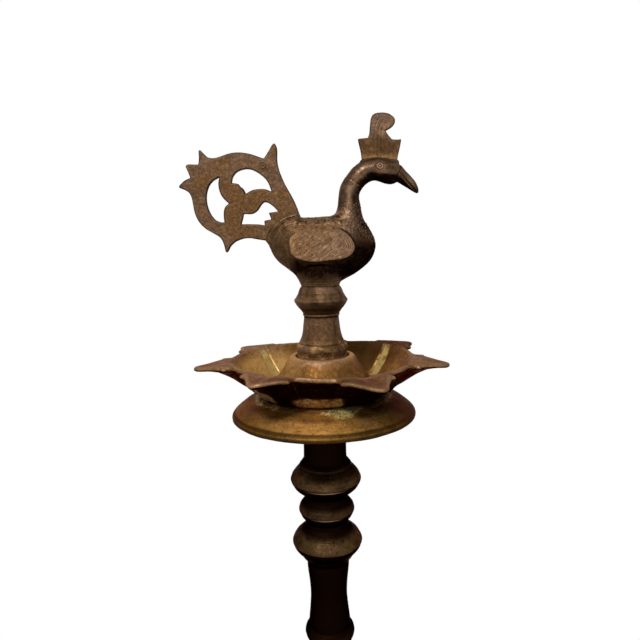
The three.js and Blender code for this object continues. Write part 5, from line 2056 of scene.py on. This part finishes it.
def place_camera():
    """The camera at the photograph's angle."""
    data = bpy.data.cameras.new("camera")
    data.lens = CAMERA_LENS
    data.sensor_width = SENSOR_WIDTH
    data.sensor_fit = "HORIZONTAL"
    data.clip_end = 50
    camera = bpy.data.objects.new("camera", data)
    bpy.context.scene.collection.objects.link(camera)
    forward = Vector((0, math.cos(CAMERA_PITCH), -math.sin(CAMERA_PITCH)))
    upright = Vector((0, math.sin(CAMERA_PITCH), math.cos(CAMERA_PITCH)))
    right = Vector((1, 0, 0))
    up = upright * math.cos(CAMERA_ROLL) + right * math.sin(CAMERA_ROLL)
    side = right * math.cos(CAMERA_ROLL) - upright * math.sin(CAMERA_ROLL)
    turn = Matrix((side, up, -forward)).transposed().to_4x4()
    spot = Vector((CAMERA_SIDE, -CAMERA_DISTANCE, RIM_Z + CAMERA_RISE)) * MM
    camera.matrix_world = Matrix.Translation(spot) @ turn
    bpy.context.scene.camera = camera


LIGHTS = (  # name, place and size in metres, and power in watts
    ("key_light", (-0.33, -0.92, 1.58), 0.2, 13.0),
    ("front_light", (0.05, -1.1, 0.82), 0.5, 1.2),
    ("back_light", (-0.9, 1.2, 1.3), 0.8, 2.0),
)
LIT_PLACE = (0, 0, 0.6)  # in metres
SURROUND_STRENGTH = 0.1
FLOOR_REACH = 6000.0


def soft_light(name, place, size, power):
    """A square white light that looks at the lamp."""
    data = bpy.data.lights.new(name, "AREA")
    data.size = size
    data.energy = power
    light = bpy.data.objects.new(name, data)
    bpy.context.scene.collection.objects.link(light)
    aim = Vector(LIT_PLACE) - Vector(place)
    light.matrix_world = Matrix.Translation(place) @ aim.to_track_quat("-Z", "Y").to_matrix().to_4x4()


def seen_directly(g):
    """1 for rays that show the background: to the camera, and in metal or glass."""
    ray = g.add("ShaderNodeLightPath", output="Is Camera Ray")
    outputs = ray.socket.node.outputs
    return (ray + Wire(g, outputs["Is Glossy Ray"]) + Wire(g, outputs["Is Transmission Ray"])).least(1)


def paper_material():
    """Pale paper that keeps the lamp's shadow near its foot and is plain white further out."""
    g = Graph.material("stage_paper")
    place = g.add("ShaderNodeTexCoord", output="Object")
    away = g.add("ShaderNodeVectorMath", {0: place}, output="Value", operation="LENGTH")
    paper = g.add("ShaderNodeBsdfDiffuse", {"Color": (0.86, 0.86, 0.86, 1)})
    white = g.add("ShaderNodeEmission", {"Color": (1, 1, 1, 1), "Strength": 1.0})
    shown = seen_directly(g) * (0.5 + 0.5 * away.between(0.14, 0.42))
    both = g.add("ShaderNodeMixShader", {0: shown, 1: paper, 2: white})
    g.add("ShaderNodeOutputMaterial", {"Surface": both})
    return g.owner


def light_world():
    """A white surround, weaker for the soft light that it gives."""
    world = bpy.data.worlds.new("studio")
    world.use_nodes = True
    world.node_tree.nodes.clear()
    g = Graph(world.node_tree)
    fill = g.add("ShaderNodeBackground", {"Color": (1, 1, 1, 1), "Strength": SURROUND_STRENGTH})
    white = g.add("ShaderNodeBackground", {"Color": (1, 1, 1, 1), "Strength": 1.0})
    both = g.add("ShaderNodeMixShader", {0: seen_directly(g), 1: fill, 2: white})
    g.add("ShaderNodeOutputWorld", {"Surface": both})
    bpy.context.scene.world = world


class LAMP_OT_stage(Maker, bpy.types.Operator):
    """Makes the floor, the lights and the camera"""

    bl_idname = "lamp.stage"
    bl_label = "Stage"

    def make(self, sizes, finish):
        corners = np.array([[-1, -1, 0], [1, -1, 0], [1, 1, 0], [-1, 1, 0]]) * FLOOR_REACH
        floor = object_of("floor", corners, [np.array([[0, 1, 2, 3]])])
        floor.data.materials.append(paper_material())
        light_world()
        for light in LIGHTS:
            soft_light(*light)
        place_camera()
        bpy.context.scene.view_settings.view_transform = "Standard"


MAKERS = (
    LAMP_OT_foot, LAMP_OT_shafts, LAMP_OT_drip_pan, LAMP_OT_oil_dish, LAMP_OT_column, LAMP_OT_peacock,
    LAMP_OT_wings, LAMP_OT_tail, LAMP_OT_crest, LAMP_OT_marks, LAMP_OT_studs, LAMP_OT_stage,
)


class LAMP_PT_panel(bpy.types.Panel):
    """Lists the lamp's pieces, sizes and colours"""

    bl_idname = "LAMP_PT_panel"
    bl_label = "Oil Lamp"
    bl_space_type = "VIEW_3D"
    bl_region_type = "UI"
    bl_category = "Oil Lamp"

    def draw(self, context):
        column = self.layout.column(align=True)
        for maker in MAKERS:
            column.operator(maker.bl_idname)
        for group in (context.scene.lamp_sizes, context.scene.lamp_finish):
            box = self.layout.box()
            for name in group.__annotations__:
                box.prop(group, name)


CLASSES = (LampSizes, LampFinish, *MAKERS, LAMP_PT_panel)


def register():
    for cls in CLASSES:
        bpy.utils.register_class(cls)
    bpy.types.Scene.lamp_sizes = PointerProperty(type=LampSizes)
    bpy.types.Scene.lamp_finish = PointerProperty(type=LampFinish)


def unregister():
    del bpy.types.Scene.lamp_finish
    del bpy.types.Scene.lamp_sizes
    for cls in reversed(CLASSES):
        bpy.utils.unregister_class(cls)


def main():
    """Makes the whole lamp and its stage."""
    register()
    for maker in MAKERS:
        group, name = maker.bl_idname.split(".")
        getattr(getattr(bpy.ops, group), name)()


if __name__ == "__main__":
    main()
